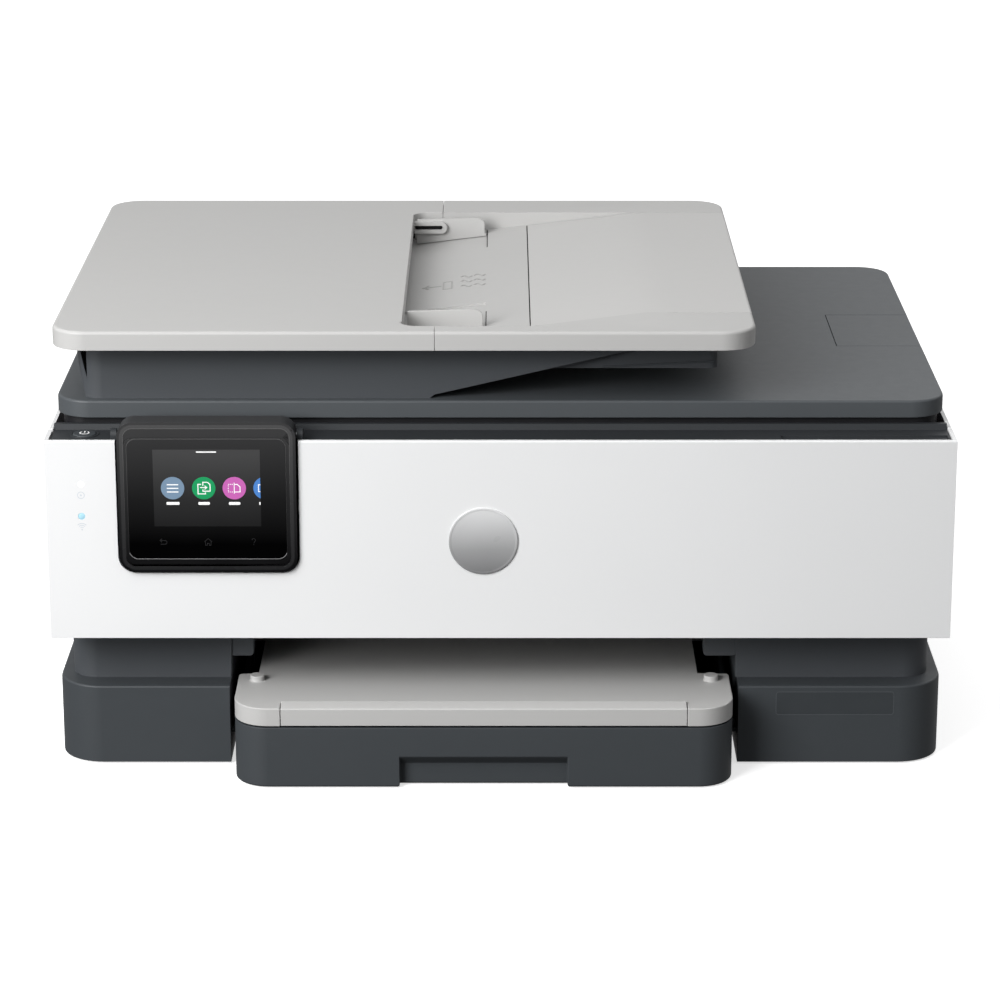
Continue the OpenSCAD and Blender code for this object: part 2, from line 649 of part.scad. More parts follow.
module carriage_motor() color(steel) {
  rody(belt_y + 10, belt_y + 44, 204, belt_z, 13.5);
  rody(belt_y - 8, belt_y + 11, 204, belt_z, 2);
  // idler's stud, on its own bracket
  rody(belt_y - 8, belt_y + 12, -204, belt_z, 2);
  bx(-210, belt_y + 10, 52, -198, belt_y + 13, belt_z + 5);
  bx(198, belt_y + 12, 52, 210, belt_y + 40, belt_z - 10);
}
module service_station() color(darker) {
  bx(104, -45, 52, 182, -3, 57);
  bx(110, -40, 56, 176, -8, 60.6);
}
module feed_roller() color(darker) {
  rodx(-204, 200, feed_y, feed_z, 3);
  for (i = [0 : 5]) rodx(-140 + i * 42, -118 + i * 42, feed_y, feed_z, 5.5);
  rodx(-203, -194, feed_y, feed_z, 5.2);
}
module exit_roller() color(darker) {
  rodx(-204, 189, exit_y, exit_z, 2);
  for (i = [0 : 5]) rodx(-134 + i * 42, -126 + i * 42, exit_y, exit_z, 4.5);
  rodx(-203, -194, exit_y, exit_z, 5.2);
}
// belt that links the two shafts
module feed_belt() color(black)
  translate([-201, 0, feed_z]) rotate([90, 0, 90]) linear_extrude(5) difference() {
    union() {
      translate([exit_y, -6.5]) square([feed_y - exit_y, 13]);
      for (y = [exit_y, feed_y]) translate([y, 0]) circle(r = 6.5, $fn = 64);
    }
    translate([exit_y, -5.3]) square([feed_y - exit_y, 10.6]);
    for (y = [exit_y, feed_y]) translate([y, 0]) circle(r = 5.3, $fn = 64);
  }
module pick_arm() color(darker) {
  difference() {
    union() {
      for (x = [-28, 8]) {
        bx(x, pick_ay, 43.5, x + 3, pick_ry, 48);
        rodx(x, x + 3, pick_ay, pick_az, 2.8);
        rodx(x, x + 3, pick_ry, pick_rz, 3.8);
      }
      bx(-26, 62, 43, 10, 78, 47.5);
    }
    rodx(-40, 20, pick_ry, pick_rz, 1.5 + run);
  }
  rodx(-33, 17, pick_ay, pick_az, 2 - run);
}
module pick_roller() color(black) {
  rodx(-28, 11, pick_ry, pick_rz, 1.5);
  rodx(-22, 5, pick_ry, pick_rz, 9);
}
module feed_motor() color(steel) {
  rodx(-186, -160, 46, 72, 14);
  bx(-184, 34, 52, -162, 58, 60);
}

// ---- electronics and back ----

module main_board() color([0.1, 0.35, 0.2]) {
  bx(20, 138, 76, 200, 139.6, 140);
  for (p = [[40, 100], [80, 110], [110, 80]]) bx(p[0], 134, p[1], p[0] + 18, 138.5, p[1] + 18);
  for (x = [30, 190]) bx(x, 139, 128, x + 5, 147, 133);
}
module power_supply() color(darker) bx(-215, 84, 52, -128, 132, 98);
module power_inlet() color(black)
  difference() {
    union() {
      bx(-192, 132, 60, -166, 148.5, 78);
      bx(-194, 145, 58, -164, 147, 80);
    }
    rody(138, 150, -184, 69, 3.6);
    rody(138, 150, -174, 69, 3.6);
    bx(-184, 138, 65.4, -174, 150, 72.6);
  }
module data_sockets() color(steel)
  for (x = [139, 166]) difference() {
    bx(x, 128, 62, x + 18, 148.5, 76);
    bx(x + 2.5, 134, 64.5, x + 15.5, 150, 73.5);
  }
module rear_cover() color(dark) {
  difference() {
    rbox(-112, 150, 56, 112, 164, 138, 4, 7);
    rbox(-109.5, 148, 58.5, 109.5, 161.5, 135.5, 3, 4.5);
  }
  // clips that reach into the back opening
  for (x = [-100, 90]) {
    bx(x, 143, 62.4, x + 10, 152, 64.4);
    bx(x, 150.2, 57, x + 10, 152.2, 64.4);
    bx(x, 143, 129.6, x + 10, 152, 131.6);
    bx(x, 150.2, 129.6, x + 10, 152.2, 137);
  }
}
module screws() color(steel)
  for (x = [-120, 120], z = [145, 52]) {
    translate([x, 149.5, z]) rotate([-90, 0, 0]) cylinder(h = 1.6, r = 3.2, $fn = 48);
  }

base_frame();
feet();
body_shell();
side_cover_left();
side_cover_right();
front_deck();
power_button();
door_hinge_arms();
front_door();
door_badge();
status_lights();
panel_housing();
panel_screen();
panel_hinge_pin();
scanner_bed();
scanner_glass();
scan_rod();
scan_bar();
lid_hinge_brackets();
scanner_lid();
lid_liner();
lid_pad();
document_stop();
adf_housing();
adf_cover();
adf_input_tray();
adf_tray_extension();
adf_guide_front();
adf_guide_rear();
adf_pick_roller();
input_tray();
tray_guide_left();
tray_guide_right();
tray_length_guide();
output_tray();
output_extension();
inner_frame();
platen();
side_plates();
guide_rod();
encoder_strip();
carriage();
cartridges();
carriage_belt();
drive_pulley();
idler_pulley();
carriage_motor();
service_station();
feed_roller();
exit_roller();
feed_belt();
pick_arm();
pick_roller();
feed_motor();
main_board();
power_supply();
power_inlet();
data_sockets();
rear_cover();
screws();
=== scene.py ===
# Looks of an office inkjet printer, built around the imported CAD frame.
import json
import math

import bmesh
import bpy
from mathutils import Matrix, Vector

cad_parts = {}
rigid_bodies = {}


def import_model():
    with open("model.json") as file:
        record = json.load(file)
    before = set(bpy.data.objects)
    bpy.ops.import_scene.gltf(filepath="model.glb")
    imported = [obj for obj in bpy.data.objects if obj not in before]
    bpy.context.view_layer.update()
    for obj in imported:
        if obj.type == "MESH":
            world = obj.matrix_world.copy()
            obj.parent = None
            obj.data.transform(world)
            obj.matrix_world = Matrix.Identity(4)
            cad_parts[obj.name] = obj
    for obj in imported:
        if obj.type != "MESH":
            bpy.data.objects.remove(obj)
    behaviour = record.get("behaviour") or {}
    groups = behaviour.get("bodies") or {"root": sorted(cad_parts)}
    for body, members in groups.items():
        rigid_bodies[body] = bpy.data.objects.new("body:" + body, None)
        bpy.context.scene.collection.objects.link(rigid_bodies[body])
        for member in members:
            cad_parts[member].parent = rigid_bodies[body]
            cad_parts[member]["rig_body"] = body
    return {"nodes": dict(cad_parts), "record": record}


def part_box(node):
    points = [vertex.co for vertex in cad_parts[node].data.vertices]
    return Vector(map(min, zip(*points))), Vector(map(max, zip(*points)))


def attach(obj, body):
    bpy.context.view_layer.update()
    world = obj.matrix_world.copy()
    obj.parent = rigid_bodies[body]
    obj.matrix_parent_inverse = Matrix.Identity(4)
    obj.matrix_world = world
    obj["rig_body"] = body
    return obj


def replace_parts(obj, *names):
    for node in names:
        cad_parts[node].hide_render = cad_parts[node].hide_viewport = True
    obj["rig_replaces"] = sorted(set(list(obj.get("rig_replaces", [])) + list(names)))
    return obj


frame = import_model()
bpy.context.view_layer.update()
NODES = frame["nodes"]
BODY = {n: o["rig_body"] for n, o in NODES.items()}
SLOT = {s["node"]: s["material_slot"] for s in frame["record"]["subparts"]}
MM = 0.001


# ---- materials ----------------------------------------------------------

def scaled(c, k):
    return tuple(min(1.0, max(0.0, v * k)) for v in c[:3]) + (1.0,)


def start(name):
    m = bpy.data.materials.new(name)
    m.use_nodes = True
    nt = m.node_tree
    nt.nodes.clear()
    out = nt.nodes.new("ShaderNodeOutputMaterial")
    b = nt.nodes.new("ShaderNodeBsdfPrincipled")
    nt.links.new(b.outputs["BSDF"], out.inputs["Surface"])
    tc = nt.nodes.new("ShaderNodeTexCoord")
    return m, nt, b, tc


def noise(nt, tc, scale, detail=2.0, rough=0.5, stretch=None):
    n = nt.nodes.new("ShaderNodeTexNoise")
    n.inputs["Scale"].default_value = scale
    n.inputs["Detail"].default_value = detail
    n.inputs["Roughness"].default_value = rough
    if stretch:
        mp = nt.nodes.new("ShaderNodeMapping")
        mp.inputs["Scale"].default_value = stretch
        nt.links.new(tc.outputs["Object"], mp.inputs["Vector"])
        nt.links.new(mp.outputs["Vector"], n.inputs["Vector"])
    else:
        nt.links.new(tc.outputs["Object"], n.inputs["Vector"])
    return n


def ramp(nt, fac, stops):
    r = nt.nodes.new("ShaderNodeValToRGB")
    e = r.color_ramp.elements
    e[0].position, e[0].color = stops[0]
    e[1].position, e[1].color = stops[-1]
    for p, c in stops[1:-1]:
        x = e.new(p)
        x.color = c
    nt.links.new(fac, r.inputs["Fac"])
    return r


def maprange(nt, fac, lo, hi, a=0.3, b=0.7):
    r = nt.nodes.new("ShaderNodeMapRange")
    r.inputs["From Min"].default_value = a
    r.inputs["From Max"].default_value = b
    r.inputs["To Min"].default_value = lo
    r.inputs["To Max"].default_value = hi
    nt.links.new(fac, r.inputs["Value"])
    return r


def moulded(name, col, rough, spread=0.03, rspread=0.05, grain=2600.0, depth=0.00003, strength=0.35,
            spec=0.5, coat=0.0, coat_rough=0.2, metal=0.0, speckle=0.25, stretch=None, emit=None, emit_k=0.0):
    """Moulded plastic and the like: broad tone drift, a fine spark-eroded grain, and uneven gloss."""
    m, nt, b, tc = start(name)
    broad = noise(nt, tc, 7.0, 3.0)
    fine = noise(nt, tc, grain, 2.0, 0.6, stretch)
    mid = noise(nt, tc, 160.0, 3.0, 0.55)
    mix = nt.nodes.new("ShaderNodeMix")
    mix.inputs["Factor"].default_value = speckle
    nt.links.new(broad.outputs["Fac"], mix.inputs["A"])
    nt.links.new(fine.outputs["Fac"], mix.inputs["B"])
    r = ramp(nt, mix.outputs["Result"], [(0.3, scaled(col, 1 - spread)), (0.7, scaled(col, 1 + spread))])
    nt.links.new(r.outputs["Color"], b.inputs["Base Color"])
    mr = maprange(nt, mid.outputs["Fac"], max(0.02, rough - rspread), min(1.0, rough + rspread))
    nt.links.new(mr.outputs["Result"], b.inputs["Roughness"])
    bp = nt.nodes.new("ShaderNodeBump")
    bp.inputs["Strength"].default_value = strength
    bp.inputs["Distance"].default_value = depth
    nt.links.new(fine.outputs["Fac"], bp.inputs["Height"])
    nt.links.new(bp.outputs["Normal"], b.inputs["Normal"])
    b.inputs["Metallic"].default_value = metal
    b.inputs["Specular IOR Level"].default_value = spec
    if coat:
        b.inputs["Coat Weight"].default_value = coat
        b.inputs["Coat Roughness"].default_value = coat_rough
    if emit:
        b.inputs["Emission Color"].default_value = tuple(emit) + (1.0,)
        b.inputs["Emission Strength"].default_value = emit_k
    return m


def lin(r, g, b):
    def f(v):
        v /= 255.0
        return v / 12.92 if v <= 0.04045 else ((v + 0.055) / 1.055) ** 2.4
    return (f(r), f(g), f(b))


M = {}
M["dark_plastic"] = moulded("dark_plastic", (0.0500, 0.0563, 0.0622), 0.5, spread=0.025, rspread=0.02, grain=2400, depth=0.00004, spec=0.42)
# near-black inner plastic: partly its own colour, partly painted shade darkening the inside of the cavity
M["inner_plastic"] = moulded("inner_plastic", (0.019, 0.020, 0.022), 0.58, spread=0.06, grain=1800, spec=0.35)
M["black_plastic"] = moulded("black_plastic", (0.011, 0.011, 0.013), 0.5, spread=0.08, grain=2400, spec=0.3)
M["white_plastic"] = moulded("white_plastic", (0.83, 0.835, 0.84), 0.34, spread=0.012, grain=900, depth=0.00001, strength=0.2, spec=0.45)
M["light_plastic"] = moulded("light_plastic", (0.505, 0.502, 0.494), 0.5, spread=0.012, rspread=0.02, grain=2200, depth=0.00004, spec=0.42)
# a lighter copy of the dark plastic: painted light for the lid's top, which faces the light
M["lid_lit_copy"] = moulded("lid_lit_copy", (0.0745, 0.0825, 0.0895), 0.48, spread=0.02, rspread=0.015, grain=2400, depth=0.00004, spec=0.45)
# a lighter copy of the dark plastic: painted light on the middle housing, feeder housing and outlet guides, brightened
# against the shade they sit in
M["body_lit_copy"] = moulded("body_lit_copy", (0.0640, 0.0700, 0.0775), 0.5, spread=0.025, rspread=0.02, grain=2400, depth=0.00004, spec=0.42)
# a darker copy of the dark plastic: painted shade for the deck under the lid's overhang
M["deck_shaded_copy"] = moulded("deck_shaded_copy", (0.031, 0.034, 0.0375), 0.5, spread=0.03, rspread=0.02, grain=2400, depth=0.00004, spec=0.3)
# a lighter copy of the light plastic: painted light on the tray extension, whose face tilts towards the key light
M["light_plastic_lit_copy"] = moulded("light_plastic_lit_copy", (0.545, 0.541, 0.532), 0.5, spread=0.012, rspread=0.02, grain=2200, depth=0.00004, spec=0.42)
M["panel_plastic"] = moulded("panel_plastic", (0.0075, 0.0075, 0.0085), 0.33, spread=0.1, grain=1500, depth=0.00001, strength=0.15, spec=0.3)
M["lid_foam"] = moulded("lid_foam", (0.8, 0.8, 0.79), 0.75, spread=0.03, grain=700, depth=0.0001, strength=0.4, spec=0.25)
M["rubber"] = moulded("rubber", (0.016, 0.016, 0.017), 0.78, spread=0.15, grain=1300, depth=0.00008, strength=0.5, spec=0.25)
M["cartridge_plastic"] = moulded("cartridge_plastic", (0.02, 0.02, 0.023), 0.42, spread=0.08, grain=1800, spec=0.45)
M["steel"] = moulded("steel", (0.5, 0.51, 0.53), 0.32, spread=0.08, grain=1400, depth=0.00002, strength=0.3, metal=1.0,
                     speckle=0.4, stretch=(1.0, 1.0, 0.05))
M["light_pipe"] = moulded("light_pipe", (0.9, 0.92, 0.95), 0.3, spread=0.02, grain=900, emit=(1.0, 1.0, 1.0), emit_k=0.35)
M["light_blue"] = moulded("light_blue", (0.42, 0.70, 0.82), 0.3, spread=0.02, grain=900, emit=(0.35, 0.72, 1.0), emit_k=0.06)


def film(name, col, alpha, rough):
    m = moulded(name, col, rough, spread=0.04, rspread=0.01, grain=600, strength=0.004)
    b = m.node_tree.nodes["Principled BSDF"]
    b.inputs["Alpha"].default_value = alpha
    return m


M["clear_film"] = film("clear_film", (0.62, 0.64, 0.67), 0.6, 0.2)
M["platen_glass"] = film("platen_glass", (0.045, 0.055, 0.055), 0.55, 0.06)


def painted_sheen_gradient(name, top, bottom, z0, z1, rough, spec):
    """Dark glass and plastic with a painted reflection: the colour runs lighter towards the top edge, a sheen painted
    in for light from above.
    """
    m, nt, b, tc = start(name)
    sep = nt.nodes.new("ShaderNodeSeparateXYZ")
    nt.links.new(tc.outputs["Object"], sep.inputs["Vector"])
    n = noise(nt, tc, 30.0, 2.0)
    add = nt.nodes.new("ShaderNodeMath")
    add.operation = "MULTIPLY_ADD"
    add.inputs[1].default_value = 0.004
    nt.links.new(n.outputs["Fac"], add.inputs[0])
    nt.links.new(sep.outputs["Z"], add.inputs[2])
    mr = maprange(nt, add.outputs["Value"], 0.0, 1.0, z0, z1)
    mid = scaled(tuple((a * 0.3 + c * 0.7) for a, c in zip(top, bottom)), 1.0)
    r = ramp(nt, mr.outputs["Result"], [(0.0, scaled(bottom, 1)), (0.42, mid), (1.0, scaled(top, 1))])
    nt.links.new(r.outputs["Color"], b.inputs["Base Color"])
    mr2 = maprange(nt, n.outputs["Fac"], rough * 0.85, rough * 1.15)
    nt.links.new(mr2.outputs["Result"], b.inputs["Roughness"])
    b.inputs["Specular IOR Level"].default_value = spec
    return m


# painted reflection: the cover glass, case, band, line and display face are coloured lighter towards their top edge
M["screen_glass"] = painted_sheen_gradient("screen_glass", (0.034, 0.034, 0.035), (0.0006, 0.0006, 0.0007), 0.128, 0.183, 0.16, 0.12)
# painted reflection: the badge's domed metal is coloured light at its top and dark at its bottom
M["badge_metal"] = painted_sheen_gradient("badge_metal", (0.70, 0.705, 0.71), (0.185, 0.186, 0.19), 0.1105, 0.1435, 0.3, 0.35)
M["panel_case"] = painted_sheen_gradient("panel_case", (0.042, 0.042, 0.043), (0.0035, 0.0035, 0.004), 0.116, 0.19, 0.34, 0.22)
# the band is a lighter copy of the case's plastic: painted light for a lit chamfer
M["panel_band"] = painted_sheen_gradient("panel_band", (0.070, 0.070, 0.071), (0.016, 0.016, 0.017), 0.112, 0.19, 0.3, 0.25)
# thin lighter lines: painted highlights on edges
M["panel_highlight_line"] = painted_sheen_gradient("panel_highlight_line", (0.13, 0.13, 0.13), (0.02, 0.02, 0.021), 0.125, 0.19, 0.28, 0.3)
M["display_face"] = painted_sheen_gradient("display_face", (0.058, 0.058, 0.059), (0.0125, 0.0125, 0.013), 0.136, 0.176, 0.22, 0.08)


def lit(name, rgb, k=0.25):
    c = lin(*rgb)
    return moulded(name, tuple(v * 0.72 for v in c), 0.3, spread=0.015, grain=900, strength=0.05, spec=0.1, emit=c, emit_k=k)


M["icon_slate"] = lit("icon_slate", (124, 148, 172))
M["icon_green"] = lit("icon_green", (38, 158, 98))
M["icon_pink"] = lit("icon_pink", (204, 106, 184))
M["icon_blue"] = lit("icon_blue", (82, 136, 208))
M["icon_white"] = lit("icon_white", (250, 250, 250), 0.35)
M["icon_dim"] = moulded("icon_dim", (0.02, 0.02, 0.021), 0.4, spread=0.05, spec=0.2)
M["mark_grey"] = moulded("mark_grey", (0.62, 0.66, 0.70), 0.45, spread=0.04, spec=0.3)
M["mark_white"] = moulded("mark_white", (0.75, 0.76, 0.77), 0.5, spread=0.04, spec=0.3)
M["mark_dark"] = moulded("mark_dark", (0.30, 0.30, 0.30), 0.55, spread=0.04, spec=0.3)
M["gap_shadow"] = moulded("gap_shadow", (0.012, 0.012, 0.013), 0.7, spread=0.1, spec=0.15)
M["brass"] = moulded("brass", (0.62, 0.45, 0.18), 0.35, spread=0.06, metal=1.0)
M["cork"] = moulded("cork", (0.28, 0.16, 0.085), 0.85, spread=0.35, grain=700, depth=0.0002, strength=0.6, speckle=0.7, spec=0.15)
M["ink_black"] = moulded("ink_black", (0.012, 0.012, 0.013), 0.4, spread=0.1)
M["ink_cyan"] = moulded("ink_cyan", (0.0, 0.33, 0.55), 0.4, spread=0.05)
M["ink_magenta"] = moulded("ink_magenta", (0.5, 0.02, 0.19), 0.4, spread=0.05)
M["ink_yellow"] = moulded("ink_yellow", (0.8, 0.56, 0.02), 0.4, spread=0.05)


def board_material():
    m, nt, b, tc = start("circuit_board")
    br = nt.nodes.new("ShaderNodeTexBrick")
    br.offset = 0.5
    br.inputs["Scale"].default_value = 260.0
    br.inputs["Mortar Size"].default_value = 0.03
    br.inputs["Color1"].default_value = (0.010, 0.085, 0.035, 1)
    br.inputs["Color2"].default_value = (0.012, 0.105, 0.042, 1)
    br.inputs["Mortar"].default_value = (0.03, 0.17, 0.07, 1)
    mp = nt.nodes.new("ShaderNodeMapping")
    mp.inputs["Rotation"].default_value = (math.radians(90), 0, 0)
    nt.links.new(tc.outputs["Object"], mp.inputs["Vector"])
    nt.links.new(mp.outputs["Vector"], br.inputs["Vector"])
    nt.links.new(br.outputs["Color"], b.inputs["Base Color"])
    n = noise(nt, tc, 90.0, 2.0)
    mr = maprange(nt, n.outputs["Fac"], 0.3, 0.45)
    nt.links.new(mr.outputs["Result"], b.inputs["Roughness"])
    bp = nt.nodes.new("ShaderNodeBump")
    bp.inputs["Strength"].default_value = 0.3
    bp.inputs["Distance"].default_value = 0.00005
    nt.links.new(br.outputs["Fac"], bp.inputs["Height"])
    nt.links.new(bp.outputs["Normal"], b.inputs["Normal"])
    return m


M["circuit_board"] = board_material()


# ---- mesh tools ---------------------------------------------------------

def front(u, v, w):
    """u right, v up, w out of the front face; millimetres to metres."""
    return Vector((u * MM, -w * MM, v * MM))


def flat(u, v, w):
    """u right, v to the back, w up."""
    return Vector((u * MM, v * MM, w * MM))


def rear(u, v, w):
    """u along X, v up, w out of the back."""
    return Vector((u * MM, w * MM, v * MM))


def rrect(x0, y0, x1, y1, r, n=8):
    pts = []
    for cx, cy, a in ((x1 - r, y1 - r, 0), (x0 + r, y1 - r, 90), (x0 + r, y0 + r, 180), (x1 - r, y0 + r, 270)):
        for i in range(n + 1):
            t = math.radians(a + 90.0 * i / n)
            pts.append((cx + r * math.cos(t), cy + r * math.sin(t)))
    return pts


def circle(cx, cy, r, n=48):
    return [(cx + r * math.cos(2 * math.pi * i / n), cy + r * math.sin(2 * math.pi * i / n)) for i in range(n)]


def arc(cx, cy, r, a0, a1, n=16):
    return [(cx + r * math.cos(math.radians(a0 + (a1 - a0) * i / n)), cy + r * math.sin(math.radians(a0 + (a1 - a0) * i / n)))
            for i in range(n + 1)]


def sides(path, w, closed):
    """The two mitred offsets of a line, half a width to each side."""
    n, left, right = len(path), [], []
    for i, p in enumerate(path):
        a = path[(i - 1) % n] if closed or i > 0 else None
        b = path[(i + 1) % n] if closed or i < n - 1 else None
        d1 = (Vector(p) - Vector(a)).normalized() if a is not None else None
        d2 = (Vector(b) - Vector(p)).normalized() if b is not None else None
        d1, d2 = d1 or d2, d2 or d1
        n1, n2 = Vector((-d1.y, d1.x)), Vector((-d2.y, d2.x))
        m = (n1 + n2)
        m = m.normalized() if m.length > 1e-6 else n1
        k = w / 2 / max(0.45, m.dot(n1))
        left.append(tuple(Vector(p) + m * k))
        right.append(tuple(Vector(p) - m * k))
    return left, right


class Build:
    """Gathers closed solids into one mesh."""

    def __init__(self):
        self.bm = bmesh.new()

    def loft(self, loops, cap=True, closed=False):
        rows = [[self.bm.verts.new(p) for p in loop] for loop in loops]
        pairs = list(zip(rows, rows[1:])) + ([(rows[-1], rows[0])] if closed else [])
        for a, b in pairs:
            for i in range(len(a)):
                j = (i + 1) % len(a)
                self.bm.faces.new((a[i], a[j], b[j], b[i]))
        if cap and not closed:
            self.bm.faces.new(rows[0])
            self.bm.faces.new(list(reversed(rows[-1])))
        return self

    def prism(self, outline, lo, hi, to):
        return self.loft([[to(u, v, lo) for u, v in outline], [to(u, v, hi) for u, v in outline]])

    def ring(self, outer, inner, lo, hi, to):
        return self.loft([[to(u, v, lo) for u, v in outer], [to(u, v, hi) for u, v in outer],
                          [to(u, v, hi) for u, v in inner], [to(u, v, lo) for u, v in inner]], closed=True)

    def stroke(self, path, w, lo, hi, to, closed=False):
        left, right = sides(path, w, closed)
        if closed:
            return self.ring(left, right, lo, hi, to)
        return self.prism(left + list(reversed(right)), lo, hi, to)

    def turn(self, profile, place, n=96):
        """Turns (radius, height) points about an axis; place(radius, angle, height) gives the point."""
        loops = []
        for r, h in profile:
            loops.append([place(r, 2 * math.pi * i / n, h) for i in range(n)])
        return self.loft(loops)

    def bar(self, x0, y0, z0, x1, y1, z1, c=0.0):
        """A bar with its four long edges chamfered by c, along its longest side."""
        d = (x1 - x0, y1 - y0, z1 - z0)
        k = d.index(max(d))
        a, b = [i for i in range(3) if i != k]
        lo, hi = (x0, y0, z0), (x1, y1, z1)
        o = [(lo[a] + c, lo[b]), (hi[a] - c, lo[b]), (hi[a], lo[b] + c), (hi[a], hi[b] - c),
             (hi[a] - c, hi[b]), (lo[a] + c, hi[b]), (lo[a], hi[b] - c), (lo[a], lo[b] + c)] if c else \
            [(lo[a], lo[b]), (hi[a], lo[b]), (hi[a], hi[b]), (lo[a], hi[b])]

        def at(p, w):
            q = [0, 0, 0]
            q[a], q[b], q[k] = p[0] * MM, p[1] * MM, w * MM
            return Vector(q)
        return self.loft([[at(p, lo[k]) for p in o], [at(p, hi[k]) for p in o]])

    def done(self, name, material, body, slot, bevel=0.0, angle=32.0, segments=2, stands_for=()):
        bmesh.ops.recalc_face_normals(self.bm, faces=self.bm.faces)
        return finish_piece(self.bm, name, material, body, bevel, angle, segments, stands_for)


def finish_piece(bm, name, material, body, bevel=0.0, angle=32.0, segments=2, stands_for=()):
    me = bpy.data.meshes.new(name)
    for f in bm.faces:
        f.smooth = True
    for e in bm.edges:
        e.smooth = not (len(e.link_faces) == 2 and e.calc_face_angle(0.0) > math.radians(angle)) and len(e.link_faces) == 2
    bm.to_mesh(me)
    bm.free()
    o = bpy.data.objects.new(name, me)
    bpy.context.scene.collection.objects.link(o)
    me.materials.append(M[material])
    if bevel:
        b = o.modifiers.new("edge", "BEVEL")
        b.width, b.segments, b.limit_method, b.angle_limit = bevel * MM, segments, "ANGLE", math.radians(angle)
        b.use_clamp_overlap = True
    w = o.modifiers.new("normals", "WEIGHTED_NORMAL")
    w.keep_sharp = True
    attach(o, body)
    for n in stands_for:
        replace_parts(o, n)
    return o


def soften(node, name, passes, material=None, angle=33.0):
    """Stands for a CAD node: the same solid with its edges rounded as the mould has them.
    Each pass is (radius mm, segments, test(middle mm, direction, normals) or None for every sharp edge left)."""
    bm = bmesh.new()
    bm.from_mesh(NODES[node].data)
    bmesh.ops.remove_doubles(bm, verts=bm.verts, dist=3e-6)
    bmesh.ops.dissolve_limit(bm, angle_limit=math.radians(0.6), verts=bm.verts, edges=bm.edges, use_dissolve_boundaries=False)
    for width, segments, test in passes:
        picked = []
        for e in bm.edges:
            if len(e.link_faces) != 2 or e.calc_face_angle(0.0) < math.radians(38):
                continue
            mid = (e.verts[0].co + e.verts[1].co) / 2 / MM
            d = (e.verts[1].co - e.verts[0].co).normalized()
            if test is None or test(mid, d, [f.normal for f in e.link_faces]):
                picked.append(e)
        if picked:
            bmesh.ops.bevel(bm, geom=picked, offset=width * MM, offset_type="OFFSET", segments=segments, profile=0.5,
                            affect="EDGES", clamp_overlap=True, loop_slide=True, material=-1)
    return finish_piece(bm, name, material or SLOT[node], BODY[node], angle=angle, stands_for=(node,))


def polish(node, bevel=0.25, segments=2, material=None):
    """A CAD node that stays: welded, its small edges rounded, with a procedural finish."""
    o = NODES[node]
    me = o.data
    if "custom_normal" in me.attributes:
        me.attributes.remove(me.attributes["custom_normal"])
    for p in me.polygons:
        p.use_smooth = True
    w = o.modifiers.new("weld", "WELD")
    w.merge_threshold = 2e-6
    d = o.modifiers.new("flat faces", "DECIMATE")
    d.decimate_type = "DISSOLVE"
    d.angle_limit = math.radians(0.6)
    if bevel:
        b = o.modifiers.new("edge", "BEVEL")
        b.width, b.segments, b.limit_method, b.angle_limit = bevel * MM, segments, "ANGLE", math.radians(38)
        b.harden_normals = False
    s = o.modifiers.new("normals", "WEIGHTED_NORMAL")
    s.keep_sharp = True
    me.materials.clear()
    me.materials.append(M[material or SLOT[node]])
    return o


# ---- the outer mouldings, with their moulded edges --------------------------

def up(ns, k=0.9):
    return any(n.z > k for n in ns)


def fwd(ns, k=0.9):
    return any(n.y < -k for n in ns)


# base block: a soft shoulder all round its top, a smaller one at its foot
soften("base_frame", "base_block", [
    (1.1, 3, lambda m, d, ns: m.z > 42.5 and up(ns) and (m.y < -118 or abs(m.x) > 222 or m.y > 147)),
    (0.5, 2, lambda m, d, ns: m.z < 1.2 and (m.y < -112 or abs(m.x) > 205)),
    (0.5, 2, lambda m, d, ns: m.y < -134 and abs(d.z) > 0.9)])
# the middle housing takes the lighter copy of the plastic: painted light
soften("body_shell", "middle_housing", [
    (0.8, 2, lambda m, d, ns: m.y < -108 and abs(d.z) > 0.9 and abs(m.x) < 145),
    (0.5, 2, lambda m, d, ns: m.y < -108 and m.z < 76 and m.z > 60)], material="body_lit_copy")
soften("front_door", "front_door_panel", [
    (1.0, 4, lambda m, d, ns: m.z > 179.5 and m.y < -151.4 and abs(d.x) > 0.9),
    (0.55, 3, lambda m, d, ns: m.y < -151.4)])
for side in ("left", "right"):
    soften("side_cover_" + side, "side_panel_" + side, [
        (0.6, 2, lambda m, d, ns: abs(m.x) > 229.8)])
# the deck takes the darker copy of the plastic: painted shade
soften("front_deck", "front_deck_top", [
    (0.35, 2, lambda m, d, ns: m.z > 176.4 and up(ns))], material="deck_shaded_copy")
soften("scanner_bed", "scanner_bed_rim", [
    (0.5, 2, lambda m, d, ns: up(ns) and m.z > 184)])
# the lid and document stop take the lighter copy of the plastic: painted light
soften("scanner_lid", "lid_shell", [
    (1.3, 4, lambda m, d, ns: m.z > 194.0 and up(ns) and not (176 < m.x < 227 and -19 < m.y < 56)),
    (0.6, 2, lambda m, d, ns: m.z < 185.3 and (m.y < -110 or abs(m.x) > 210 or m.y > 150)),
    (0.3, 2, lambda m, d, ns: m.z > 193.9 and up(ns))], material="lid_lit_copy")
soften("document_stop", "document_stop_flap", [
    (0.35, 2, lambda m, d, ns: up(ns) and m.z > 193.9)], material="lid_lit_copy")
soften("adf_housing", "feeder_housing", [
    (0.8, 3, lambda m, d, ns: m.z < 208.5 and m.x > 19 and m.z > 207),
    (0.7, 2, lambda m, d, ns: m.y < -122 and abs(d.z) > 0.02 and m.z < 223)], material="body_lit_copy")


def rim_top(m, d, ns):
    return m.z > 233.9 and up(ns) and (m.y < -120 or m.x < -200 or m.x > 120 or m.y > 165)


def seam_edge(m):
    return abs(m.x + 33.2) < 0.6


